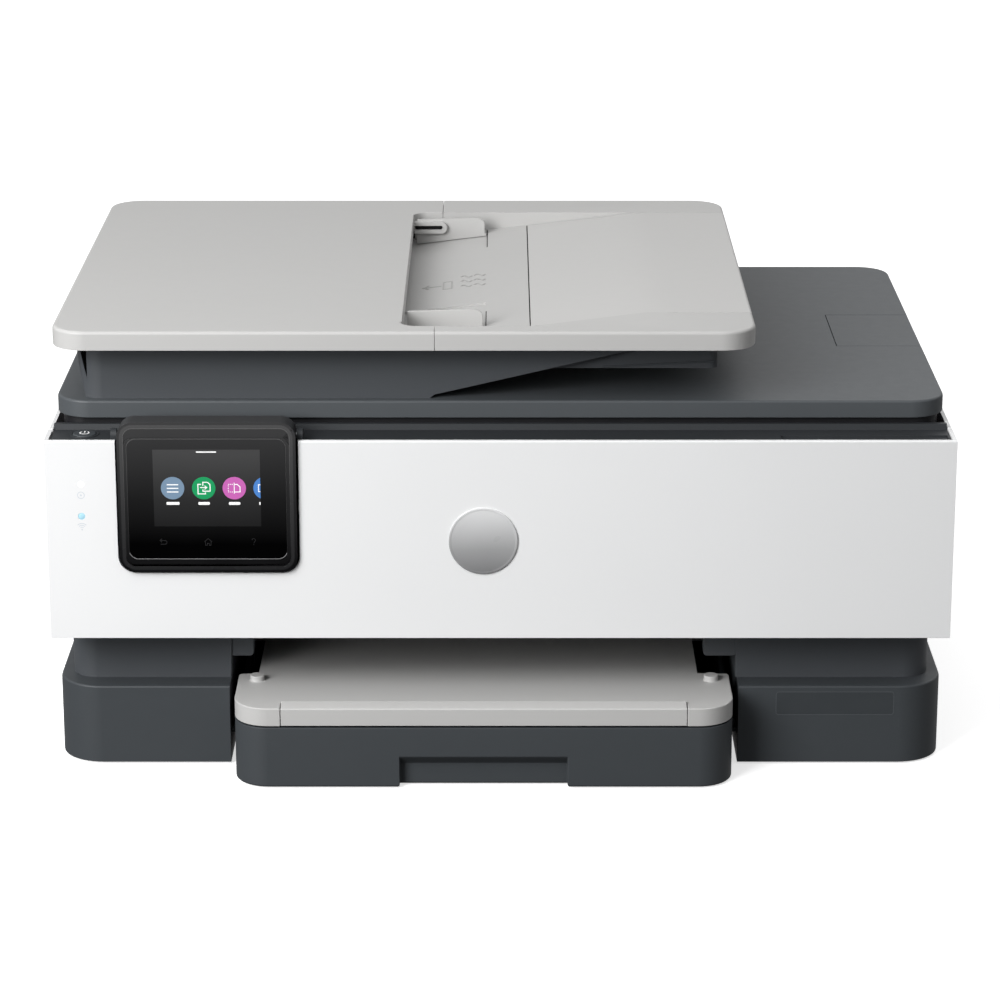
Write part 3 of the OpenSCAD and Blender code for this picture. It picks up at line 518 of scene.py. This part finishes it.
soften("adf_cover", "feeder_cover", [
    (1.7, 4, lambda m, d, ns: rim_top(m, d, ns) and not seam_edge(m)),
    (0.9, 3, lambda m, d, ns: m.z < 224.4 and any(n.z < -0.9 for n in ns) and (m.y < -141 or m.x < -225 or m.y > 169.5)),
    (0.7, 3, lambda m, d, ns: m.z > 233.9 and up(ns) and not seam_edge(m))])
soften("adf_input_tray", "feeder_tray", [
    (1.7, 4, lambda m, d, ns: rim_top(m, d, ns) and not seam_edge(m) and not (m.x > 127 and -101 < m.y < 135)),
    (0.9, 3, lambda m, d, ns: m.z < 224.4 and any(n.z < -0.9 for n in ns) and (m.y < -141 or m.x > 127.5 or m.y > 169.5)),
    (0.6, 2, lambda m, d, ns: m.z > 225 and up(ns, 0.8) and m.x > -33 and m.y < -120 and m.y > -131)])
# the extension takes the lighter copy of the plastic: painted light
soften("adf_tray_extension", "feeder_tray_extension", [
    (0.25, 2, lambda m, d, ns: up(ns, 0.7) and m.x < 16),
    (1.5, 4, lambda m, d, ns: m.x > 128.5 and m.z > 233.5)], material="light_plastic_lit_copy")
for g in ("front", "rear"):
    soften("adf_guide_" + g, "feeder_guide_" + g, [(0.45, 2, lambda m, d, ns: m.z > 222)])

soften("input_tray", "paper_tray", [
    (1.2, 3, lambda m, d, ns: m.y < -150 and m.z < 1.0),
    (0.5, 2, lambda m, d, ns: m.y < -150)])
soften("output_tray", "catch_tray", [
    (0.9, 3, lambda m, d, ns: m.z > 43.2 and up(ns) and m.y < -118),
    (0.6, 3, lambda m, d, ns: m.z > 46),
    (0.35, 2, lambda m, d, ns: m.y < -150)])
soften("output_extension", "catch_tray_extension", [
    (0.8, 3, lambda m, d, ns: m.z > 43.2 and up(ns) and abs(d.x) > 0.9 and m.y < -165),
    (0.4, 2, lambda m, d, ns: m.z > 41)])
soften("panel_housing", "panel_case", [
    (0.9, 4, lambda m, d, ns: m.y < -153.9 and fwd(ns) and (m.x < -192 or m.x > -104 or m.z > 189 or m.z < 112) ),
    (0.25, 2, lambda m, d, ns: m.y < -153.9)], material="panel_case")
soften("power_button", "power_key", [(0.7, 3, lambda m, d, ns: m.z > 179.5)])
soften("rear_cover", "rear_access_cover", [
    (1.6, 4, lambda m, d, ns: m.y > 163.5 and any(n.y > 0.9 for n in ns)),
    (0.5, 2, lambda m, d, ns: m.y > 150.2 and m.y < 163.5 and m.z > 56)])

replaced = set()
for o in bpy.context.scene.objects:
    replaced |= set(o.get("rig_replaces", []))
CUSTOM = {"panel_screen", "door_badge", "status_lights"}
SMALL = {"encoder_strip": 0.0, "scanner_glass": 0.15, "lid_pad": 0.6, "carriage_belt": 0.0, "feed_belt": 0.0, "screws": 0.4,
         "guide_rod": 0.3, "scan_rod": 0.3, "feet": 0.0, "carriage": 0.4, "cartridges": 0.7, "power_supply": 1.2,
         "service_station": 0.6, "platen": 0.4, "scan_bar": 0.4}
for n in NODES:
    if n not in replaced and n not in CUSTOM:
        polish(n, SMALL.get(n, 0.25))


# ---- control panel ------------------------------------------------------

def panel_details():
    # cover glass: a plate in the case with the touch area standing a little proud of it
    lo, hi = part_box("panel_screen")
    x0, x1, z0, z1 = lo.x / MM, hi.x / MM, lo.z / MM, hi.z / MM
    back, face = -hi.y / MM, -lo.y / MM
    b = Build()
    b.prism(rrect(x0, z0, x1, z1, 4.8, 10), back, face - 0.22, front)
    b.done("panel_backplate", "panel_case", "control_panel", "panel_plastic", bevel=0.12)
    # raised band just inside the case's edge, coloured lighter than the case as painted light standing for a lit
    # chamfer, with a painted highlight line along its inner side
    lo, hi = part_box("panel_housing")
    hx0, hx1, hz0, hz1, hy = lo.x / MM, hi.x / MM, lo.z / MM, hi.z / MM, -lo.y / MM

    def inset(k):
        return rrect(hx0 + k, hz0 + k, hx1 - k, hz1 - k, 8.0 - k, 10)
    q = Build()
    q.ring(inset(1.35), inset(3.0), hy - 0.3, hy + 0.06, front)
    q.done("panel_band", "panel_band", "control_panel", "panel_plastic", bevel=0.05)
    # painted highlight line along the band's inner edge
    q = Build()
    q.ring(inset(3.0), inset(3.28), hy - 0.3, hy + 0.09, front)
    q.done("panel_band_highlight", "panel_highlight_line", "control_panel", "panel_plastic")
    g = Build()
    g.prism(rrect(x0 + 1.7, z0 + 3.2, x1 - 1.9, z1 - 0.35, 4.6, 12), face - 0.6, face, front)
    g.done("touch_glass", "screen_glass", "control_panel", "screen_glass", bevel=0.2, segments=3, stands_for=("panel_screen",))
    # a fine painted highlight line, where the glass meets the plate
    e = Build()
    e.ring(rrect(x0 + 1.55, z0 + 3.05, x1 - 1.75, z1 - 0.2, 4.75, 12), rrect(x0 + 1.72, z0 + 3.22, x1 - 1.92, z1 - 0.37, 4.6, 12),
           face - 0.5, face - 0.1, front)
    e.done("touch_glass_edge_highlight", "panel_highlight_line", "control_panel", "screen_glass")
    # painted highlight: a lighter strip along the glass's lower corners, where its bevel catches light
    e = Build()
    e.stroke(arc(x0 + 6.3, z0 + 7.8, 4.72, 200, 270, 10) + arc(x1 - 6.5, z0 + 7.8, 4.72, 270, 340, 10), 0.3, face - 0.5, face - 0.04, front)
    e.done("touch_corner_highlight", "glass_lip_highlight", "control_panel", "screen_glass")
    d0 = face - 0.02
    d = Build()
    d.prism([(-175, 135.6), (-121, 135.6), (-121, 176), (-175, 176)], d0 - 0.05, d0 + 0.04, front)
    d.done("display", "display_face", "control_panel", "screen_glass")
    y0, y1, y2 = d0 + 0.02, d0 + 0.06, d0 + 0.085
    zc, r = 155.8, 5.9
    for name, x, mat in (("menu", -165.3, "icon_slate"), ("copy", -149.6, "icon_green"), ("scan", -134.2, "icon_pink")):
        k = Build()
        k.prism(circle(x, zc, r, 56), y0, y1, front)
        k.done("display_key_" + name, mat, "control_panel", "screen_glass")
    k = Build()
    half = math.degrees(math.acos((-121.05 + 118.7) / r))
    k.prism(arc(-118.7, zc, r, half, 360 - half, 28), y0, y1, front)
    k.done("display_key_next", "icon_blue", "control_panel", "screen_glass")
    w = Build()

    def line(pts, t=0.5, closed=False):
        w.stroke(pts, t, y1 - 0.01, y2, front, closed)
    for dz in (1.8, -0.1, -2.0):
        line([(-168.2, zc + dz), (-162.4, zc + dz)], 0.55)
    # two sheets and an arrow
    x = -149.6
    line([(x - 1.2, zc + 2.0), (x - 2.9, zc + 2.0), (x - 2.9, zc - 3.0), (x + 0.8, zc - 3.0), (x + 0.8, zc - 2.2)])
    line([(x + 1.9, zc + 3.1), (x - 0.4, zc + 3.1), (x - 0.4, zc + 1.2)])
    line([(x - 0.4, zc - 0.7), (x - 0.4, zc - 1.6), (x + 3.2, zc - 1.6), (x + 3.2, zc + 1.9), (x + 1.9, zc + 3.1)])
    line([(x - 1.9, zc + 0.3), (x + 1.5, zc + 0.3)], 0.45)
    line([(x + 0.4, zc + 1.3), (x + 1.6, zc + 0.3), (x + 0.4, zc - 0.7)], 0.45)
    # a sheet passing a scan line
    x = -134.2
    line([(x, zc + 2.9), (x, zc - 2.9)], 0.4)
    line([(x, zc + 2.0), (x + 1.5, zc + 2.0), (x + 2.9, zc + 0.7), (x + 2.9, zc - 2.0), (x, zc - 2.0)], 0.45)
    for i in range(3):
        for zz in (2.0, -2.0):
            line([(x - 0.7 - i * 0.9, zc + zz), (x - 1.2 - i * 0.9, zc + zz)], 0.4)
        line([(x - 3.0, zc + 1.4 - i * 1.2), (x - 3.0, zc + 0.9 - i * 1.2)], 0.4)
    line([(x + 13.15, zc + 1.8), (x + 12.2, zc + 1.8), (x + 12.2, zc - 1.8), (x + 13.15, zc - 1.8)], 0.45)
    # captions as plain bars, the pull-down bar above
    for x, wd in ((-165.3, 6.6), (-149.6, 5.8), (-134.2, 5.8)):
        w.prism(rrect(x - wd / 2, 147.0, x + wd / 2, 148.5, 0.5, 4), y0, y1, front)
    w.prism(rrect(-121.75, 147.0, -121.1, 148.5, 0.2, 3), y0, y1, front)
    w.prism(rrect(-153.1, 174.4, -142.9, 175.1, 0.3, 4), y0, y1, front)
    w.done("display_marks", "icon_white", "control_panel", "screen_glass")
    # dim touch symbols below the display: back, home, help
    t = Build()
    y3, y4 = face - 0.03, face + 0.0
    t.stroke([(-172.4, 128.1), (-169.9, 128.1)] + arc(-169.9, 127.1, 1.0, 90, -90, 8) + [(-172.2, 126.1)], 0.28, y3, y4 + 0.03, front)
    t.stroke([(-171.5, 129.0), (-172.5, 128.1), (-171.5, 127.2)], 0.28, y3, y4 + 0.03, front)
    t.stroke([(-150.0, 127.4), (-148, 129.1), (-146.0, 127.4)], 0.28, y3, y4 + 0.03, front)
    t.stroke([(-149.4, 127.6), (-149.4, 125.6), (-148.5, 125.6), (-148.5, 126.6), (-147.5, 126.6), (-147.5, 125.6), (-146.6, 125.6), (-146.6, 127.6)],
             0.28, y3, y4 + 0.03, front)
    t.stroke(arc(-125, 128.2, 0.9, 170, -60, 12) + [(-125, 126.7)], 0.28, y3, y4 + 0.03, front)
    t.prism(circle(-125, 125.9, 0.2, 12), y3, y4 + 0.03, front)
    t.done("touch_symbols", "icon_dim", "control_panel", "screen_glass")


# lighter grey for the painted highlight at the glass's lower corners
M["glass_lip_highlight"] = moulded("glass_lip_highlight", (0.24, 0.24, 0.245), 0.3, spread=0.05, spec=0.4)
panel_details()


# ---- front door: badge and status lights --------------------------------

def door_details():
    lo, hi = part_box("door_badge")
    cx, cz = (lo.x + hi.x) / 2 / MM, (lo.z + hi.z) / 2 / MM
    r, y0, y1 = (hi.x - lo.x) / 2 / MM, -hi.y / MM, -lo.y / MM

    def at(rad, a, h):
        return front(cx + rad * math.cos(a), cz + rad * math.sin(a), h)
    # the disc's colour runs light to dark from top to bottom, a painted reflection of its dome
    b = Build()
    b.turn([(r, y0 - 0.3), (r, y1 - 0.25), (r - 0.12, y1 - 0.08), (r - 0.4, y1), (r - 0.9, y1), (r - 1.15, y1 - 0.12),
            (r - 1.5, y1 - 0.2), (r * 0.6, y1 - 0.13), (r * 0.25, y1 - 0.09), (0.02, y1 - 0.08)], at, 112)
    b.done("door_badge_disc", "badge_metal", "front_door", "badge_metal", stands_for=("door_badge",))
    lo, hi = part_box("status_lights")
    x, face, rad = (lo.x + hi.x) / 2 / MM, -lo.y / MM, 1.75
    for i, (z, mat) in enumerate(((157, "light_pipe"), (140, "light_blue"))):
        def lens(rr, a, h, z=z):
            return front(x + rr * math.cos(a), z + rr * math.sin(a), h)
        b = Build()
        b.turn([(3.0, 146), (3.0, 149.3), (rad, 149.35), (rad, face - 0.25), (rad * 0.8, face - 0.08), (rad * 0.45, face - 0.02), (0.02, face)],
               lens, 40)
        b.done("status_light_%d" % (i + 1), mat, "front_door", "light_pipe", stands_for=("status_lights",) if i == 0 else ())
    # printed symbols under the lights: a ring with a dot, and radio arcs
    s = Build()
    y0, y1 = 151.58, 151.63
    s.ring(circle(x, 151.2, 1.9, 32), circle(x, 151.2, 1.55, 32), y0, y1, front)
    s.prism(circle(x, 151.2, 0.5, 16), y0, y1, front)
    for rr in (1.1, 2.1, 3.1):
        s.stroke(arc(x, 133.2, rr, 45, 135, 10), 0.38, y0, y1, front)
    s.prism(circle(x, 133.0, 0.4, 16), y0, y1, front)
    s.done("status_symbols", "mark_grey", "front_door", "white_plastic")


door_details()


# ---- deck and base -------------------------------------------------------

def deck_details():
    lo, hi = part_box("power_button")
    x, y, z = (lo.x + hi.x) / 2 / MM, (lo.y + hi.y) / 2 / MM, hi.z / MM
    p = Build()
    a0, a1 = z - 0.06, z + 0.05
    p.stroke(arc(x, y, 2.3, 130, 410, 26), 0.62, a0, a1, flat)
    p.stroke([(x, y + 0.3), (x, y + 3.0)], 0.62, a0, a1, flat)
    p.done("power_symbol", "icon_white", "power_button", "dark_plastic")
    # blank name plate let into the base, with a fine outline
    q = Build()
    q.ring(rrect(143.0, 27.0, 204.5, 40.0, 1.6, 6), rrect(143.45, 27.45, 204.05, 39.55, 1.25, 6), 135.95, 136.09, front)
    q.done("name_plate_outline", "plate_line", "chassis", "dark_plastic")
    q = Build()
    q.prism(rrect(143.45, 27.45, 204.05, 39.55, 1.25, 6), 135.95, 136.03, front)
    q.done("name_plate", "plate_face", "chassis", "dark_plastic")


M["plate_line"] = moulded("plate_line", (0.075, 0.083, 0.090), 0.4, spread=0.05, spec=0.4)
M["plate_face"] = moulded("plate_face", (0.043, 0.0485, 0.0535), 0.45, spread=0.05, spec=0.4)
deck_details()


def outlet_details():
    # corner guides at the two ends of the paper outlet
    b = Build()
    for x0, x1 in ((-141.0, -128.6), (105.8, 123.4)):
        b.prism(rrect(x0, 54.4, x1, 68.0, 2.2, 6), 110.4, 121.4, front)
    b.done("outlet_corner_guides", "body_lit_copy", "chassis", "dark_plastic", bevel=0.5, segments=3)


outlet_details()


# ---- feeder --------------------------------------------------------------

def surf(x):
    return 218.5 + (x + 50) * 8 / 65 if x < 15 else 226.5 + (x - 15) * 7.5 / 59


def on_tray(u, v, w):
    return Vector((u * MM, v * MM, (surf(u) + w) * MM))


# darker grey for the embossed marks: painted shade of the embossing
M["mark_emboss_shaded"] = moulded("mark_emboss_shaded", (0.40, 0.397, 0.39), 0.5, spread=0.03, grain=2200, spec=0.35)


def feeder_details():
    b = Build()
    # embossed marks: three wavy sheets, and an arrow towards the slot beside a sheet, coloured darker than the tray as
    # their painted shade
    for row in (0, 1, 2):
        for half in (0, 1):
            pts = []
            for i in range(13):
                t = i / 12
                pts.append((-21.5 + half * 7.2 + t * 5.8, 4 + row * 11 + 2.4 * math.sin(2 * math.pi * t)))
            b.stroke(pts, 0.9, -0.1, 0.22, on_tray)
    b.stroke([(-41.5, 10), (-32, 10)], 0.9, -0.1, 0.22, on_tray)
    b.stroke([(-39, 6), (-42, 10), (-39, 14)], 0.9, -0.1, 0.22, on_tray)
    b.stroke([(-31, 2), (-26.5, 2), (-26.5, 18), (-31, 18)], 0.8, -0.1, 0.22, on_tray, closed=True)
    b.done("feeder_marks", "mark_emboss_shaded", "scanner_lid", "light_plastic")
    # raised rib across the block under the tray's outer end
    r = Build()
    r.prism([(52, 207.9), (109.5, 210.9), (109.5, 211.9), (52, 208.9)], 113.9, 114.5, front)
    r.done("feeder_block_rib", "dark_plastic", "scanner_lid", "dark_plastic", bevel=0.2)
    # slots the guides run in: fine dark strips at the ends of their tracks, a painted shadow
    g = Build()
    for y0, y1 in ((-102.6, -58.4), (92.4, 136.6)):
        g.prism([(-7.75, y0), (-7.25, y0), (-7.25, y1), (-7.75, y1)], -0.4, 0.03, on_tray)
    g.done("guide_track_painted_shadow", "gap_shadow", "scanner_lid", "light_plastic")
    # painted shadow inside the slot in the rear guide's finger tab
    t = Build()
    t.prism(rrect(-49.0, 226.95, -33.4, 229.05, 1.0, 6), -124.55, -124.3, front)
    t.done("guide_tab_slot_painted_shadow", "gap_shadow", "adf_guide_rear", "light_plastic")
    # painted shadow in the gap along the cover's side of the extension
    s = Build()
    s.prism([(14.9, -101.6), (15.55, -101.6), (15.55, 135.6), (14.9, 135.6)], -0.6, -0.12, on_tray)
    s.done("extension_gap_painted_shadow", "gap_shadow", "scanner_lid", "light_plastic")


feeder_details()


# ---- back ----------------------------------------------------------------

def back_details():
    # cooling slots in the body shell, as raised louvres
    for name, x0, x1, z0, n in (("left", -211.0, -168.0, 86.0, 6), ("right", 170.0, 208.0, 84.0, 12)):
        v = Build()
        for i in range(n):
            z = z0 + i * 5.2
            v.loft([[rear(x, z + 2.4, 149.3), rear(x, z + 2.4, 150.0), rear(x, z + 1.2, 150.9), rear(x, z, 150.9), rear(x, z, 149.3)]
                    for x in (x0, x1)])
        v.done("back_louvres_" + name, "dark_plastic", "chassis", "dark_plastic", bevel=0.2)
    # blank rating plate
    p = Build()
    p.prism(rrect(-211, 120, -168, 150, 1.5, 5), 149.48, 149.72, rear)
    p.done("rating_plate", "label_face", "chassis", "dark_plastic", bevel=0.08)
    r = Build()
    r.ring(rrect(-209.6, 121.4, -169.4, 148.6, 1.0, 5), rrect(-209.1, 121.9, -169.9, 148.1, 0.7, 5), 149.7, 149.78, rear)
    for i in range(4):
        r.prism(rrect(-206, 143 - i * 5, -206 + (34, 28, 34, 20)[i], 144.4 - i * 5, 0.4, 3), 149.7, 149.76, rear)
    r.done("rating_plate_lines", "mark_grey", "chassis", "dark_plastic")
    # sockets: contact tongues and springs; inlet pins
    c = Build()
    c.prism([(143.5, 68.5), (152.5, 68.5), (152.5, 70.5), (143.5, 70.5)], 134.2, 146.0, rear)
    c.prism([(169.4, 65.4), (180.6, 65.4), (180.6, 67.0), (169.4, 67.0)], 134.2, 144.0, rear)
    c.done("socket_tongues", "inner_plastic", "chassis", "black_plastic", bevel=0.15)
    k = Build()
    for i in range(4):
        k.bar(144.5 + i * 2.0, 138.0, 70.5, 145.3 + i * 2.0, 145.8, 70.62, 0.0)
    for i in range(8):
        k.bar(169.9 + i * 1.3, 136.0, 67.0, 170.4 + i * 1.3, 143.6, 67.12, 0.0)
    k.done("socket_contacts", "brass", "chassis", "steel")
    n = Build()
    for x in (-184, -174):
        def pin(rr, a, h, x=x):
            return rear(x + rr * math.cos(a), 69 + rr * math.sin(a), h)
        n.turn([(1.2, 138.2), (1.2, 146.5), (0.9, 147.1), (0.02, 147.4)], pin, 24)
    n.done("inlet_pins", "steel", "chassis", "steel")
    # cross recesses in the screw heads, drawn as raised dark strips: painted shadow
    s = Build()
    for x in (-120, 120):
        for z in (145, 52):
            s.stroke([(x - 1.7, z), (x + 1.7, z)], 0.7, 151.02, 151.13, rear)
            s.stroke([(x, z - 1.7), (x, z + 1.7)], 0.7, 151.02, 151.13, rear)
    s.done("screw_recess_painted_shadow", "gap_shadow", "chassis", "steel")
    # finger grips on the rear cover
    g = Build()
    for i in range(5):
        for x in (-96, 84):
            g.prism([(x, 118 - i * 4), (x + 12, 118 - i * 4), (x + 12, 119.4 - i * 4), (x, 119.4 - i * 4)], 163.2, 163.98, rear)
    g.done("rear_cover_grips", "dark_plastic", "rear_cover", "dark_plastic", bevel=0.25)
    h = Build()
    h.ring(rrect(-70, 66, 70, 128, 3.0, 6), rrect(-69.2, 66.8, 69.2, 127.2, 2.4, 6), 163.6, 163.98, rear)
    h.done("rear_cover_panel_line", "dark_plastic", "rear_cover", "dark_plastic", bevel=0.12)


M["label_face"] = moulded("label_face", (0.16, 0.165, 0.17), 0.45, spread=0.04, grain=1500, spec=0.4)
back_details()


# ---- inside: cartridges, carriage, scanner, tray, board ------------------

def inside_details():
    for i, mat in enumerate(("ink_black", "ink_cyan", "ink_magenta", "ink_yellow")):
        x0, x1 = BOXX + 2 + i * PITCH, BOXX + i * PITCH + PITCH
        c = Build()
        c.prism(rrect(x0 + 3, 92, x1 - 3, 109, 1.2, 5), 45.9, 46.3, front)
        c.done("cartridge_label_%d" % (i + 1), mat, "carriage", "cartridge_plastic", bevel=0.08)
    # scanner: size ticks on the bed rim
    lo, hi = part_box("scanner_glass")
    t = Build()
    for i in range(12):
        y = 100 - i * 18
        t.stroke([(-222.6, y), (-219.6 if i % 3 else -218.4, y)], 0.5, 184.66, 184.72, flat)
    t.done("bed_size_ticks", "mark_grey", "chassis", "black_plastic")
    # board parts
    for name, mat, parts in (
            ("board_chips", "cartridge_plastic", ((34, 84, 12, 9, 2.2), (120, 118, 16, 12, 2.0), (150, 88, 10, 10, 2.0), (168, 120, 14, 8, 1.8))),
            ("board_headers", "lid_foam", ((60, 86, 14, 4, 5.5), (136, 104, 18, 4, 5.5), (186, 96, 4, 16, 5.0)))):
        b = Build()
        for x, z, w, h, d in parts:
            b.prism(rrect(x, z, x + w, z + h, 0.4, 2), -138.0, -138.0 + d, front)
        b.done(name, mat, "chassis", "circuit_board", bevel=0.15)
    # paper tray: a friction pad
    lo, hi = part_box("input_tray")
    w = Build()
    w.prism(rrect(-20, 78, 4, 100, 1.0, 4), 2.95, 3.25, flat)
    w.done("friction_pad", "cork", "input_tray", "dark_plastic", bevel=0.1)


BOXX, PITCH = 88.0, 23.5
inside_details()
FLOOR_GLOW = 0.62
WORLD = {"base": 0.05, "left": 0.0, "right": 0.16, "front": 0.0, "back": 0.34, "top": 0.82, "bottom": 0.02}
BOXES = {
    "near_left": ((-1.0, -1.25, 0.7), (-0.1, -0.1, 0.1), (0.8, 0.8), 20.5),
    "near_left_high": ((-0.9, -1.1, 1.2), (-0.1, -0.1, 0.1), (0.9, 0.9), 13.5),
    "back_right": ((1.2, 2.0, 1.3), (0.05, 0.0, 0.15), (1.8, 1.0), 4.5),
}


# ---- floor, light and camera ------------------------------------------------

floor_bm = bmesh.new()
bmesh.ops.create_circle(floor_bm, cap_ends=True, radius=30.0, segments=96)
floor_me = bpy.data.meshes.new("floor")
floor_bm.to_mesh(floor_me)
floor_bm.free()
floor = bpy.data.objects.new("floor", floor_me)
floor.location = (0, 0, -0.0002)
bpy.context.scene.collection.objects.link(floor)
# the table shows to the camera but throws no light back, as on a lit studio sweep
floor.visible_diffuse = False
floor.visible_glossy = False
M["floor"] = moulded("floor", (0.86, 0.86, 0.86), 0.9, spread=0.004, grain=60.0, strength=0.02, spec=0.1,
                     emit=(1.0, 1.0, 1.0), emit_k=FLOOR_GLOW)
floor_me.materials.append(M["floor"])

world = bpy.data.worlds.new("studio")
bpy.context.scene.world = world
world.use_nodes = True
wt = world.node_tree
wt.nodes.clear()
wo = wt.nodes.new("ShaderNodeOutputWorld")
bg = wt.nodes.new("ShaderNodeBackground")
wt.links.new(bg.outputs["Background"], wo.inputs["Surface"])
wc = wt.nodes.new("ShaderNodeTexCoord")
ws = wt.nodes.new("ShaderNodeSeparateXYZ")
wt.links.new(wc.outputs["Generated"], ws.inputs["Vector"])


def wmath(op, a, b, c=None):
    n = wt.nodes.new("ShaderNodeMath")
    n.operation = op
    for i, v in enumerate((a, b, c)):
        if v is None:
            continue
        if isinstance(v, (int, float)):
            n.inputs[i].default_value = v
        else:
            wt.links.new(v, n.inputs[i])
    return n.outputs["Value"]


level = WORLD["base"]
for axis, sign, key in (("X", -1, "left"), ("X", 1, "right"), ("Y", -1, "front"), ("Y", 1, "back"), ("Z", 1, "top"), ("Z", -1, "bottom")):
    half = wmath("MAXIMUM", wmath("MULTIPLY", ws.outputs[axis], sign), 0.0)
    level = wmath("MULTIPLY_ADD", half, WORLD[key], level)
wt.links.new(level, bg.inputs["Strength"])


def softbox(name, place, aim, size, power, spread=180):
    d = bpy.data.lights.new(name, "AREA")
    d.shape, d.size, d.size_y, d.energy = "RECTANGLE", size[0], size[1], power
    d.spread = math.radians(spread)
    o = bpy.data.objects.new(name, d)
    o.location = place
    o.visible_camera = False
    o.rotation_euler = (Vector(aim) - Vector(place)).to_track_quat("-Z", "Y").to_euler()
    bpy.context.scene.collection.objects.link(o)
    return o


for name, (place, aim, size, power) in BOXES.items():
    softbox(name, place, aim, size, power)

camera_data = bpy.data.cameras.new("camera")
camera_data.sensor_width = 36.0
camera_data.lens = 125.35
camera_data.clip_start, camera_data.clip_end = 0.05, 100.0
camera = bpy.data.objects.new("camera", camera_data)
camera.location = (-0.00023, -1.8344, 0.66448)
camera.rotation_euler = (math.pi / 2 - 0.2974, 0.0, 0.0)
bpy.context.scene.collection.objects.link(camera)
bpy.context.scene.camera = camera
bpy.context.scene.view_settings.view_transform = "Standard"
bpy.context.scene.view_settings.look = "None"

bpy.context.view_layer.update()
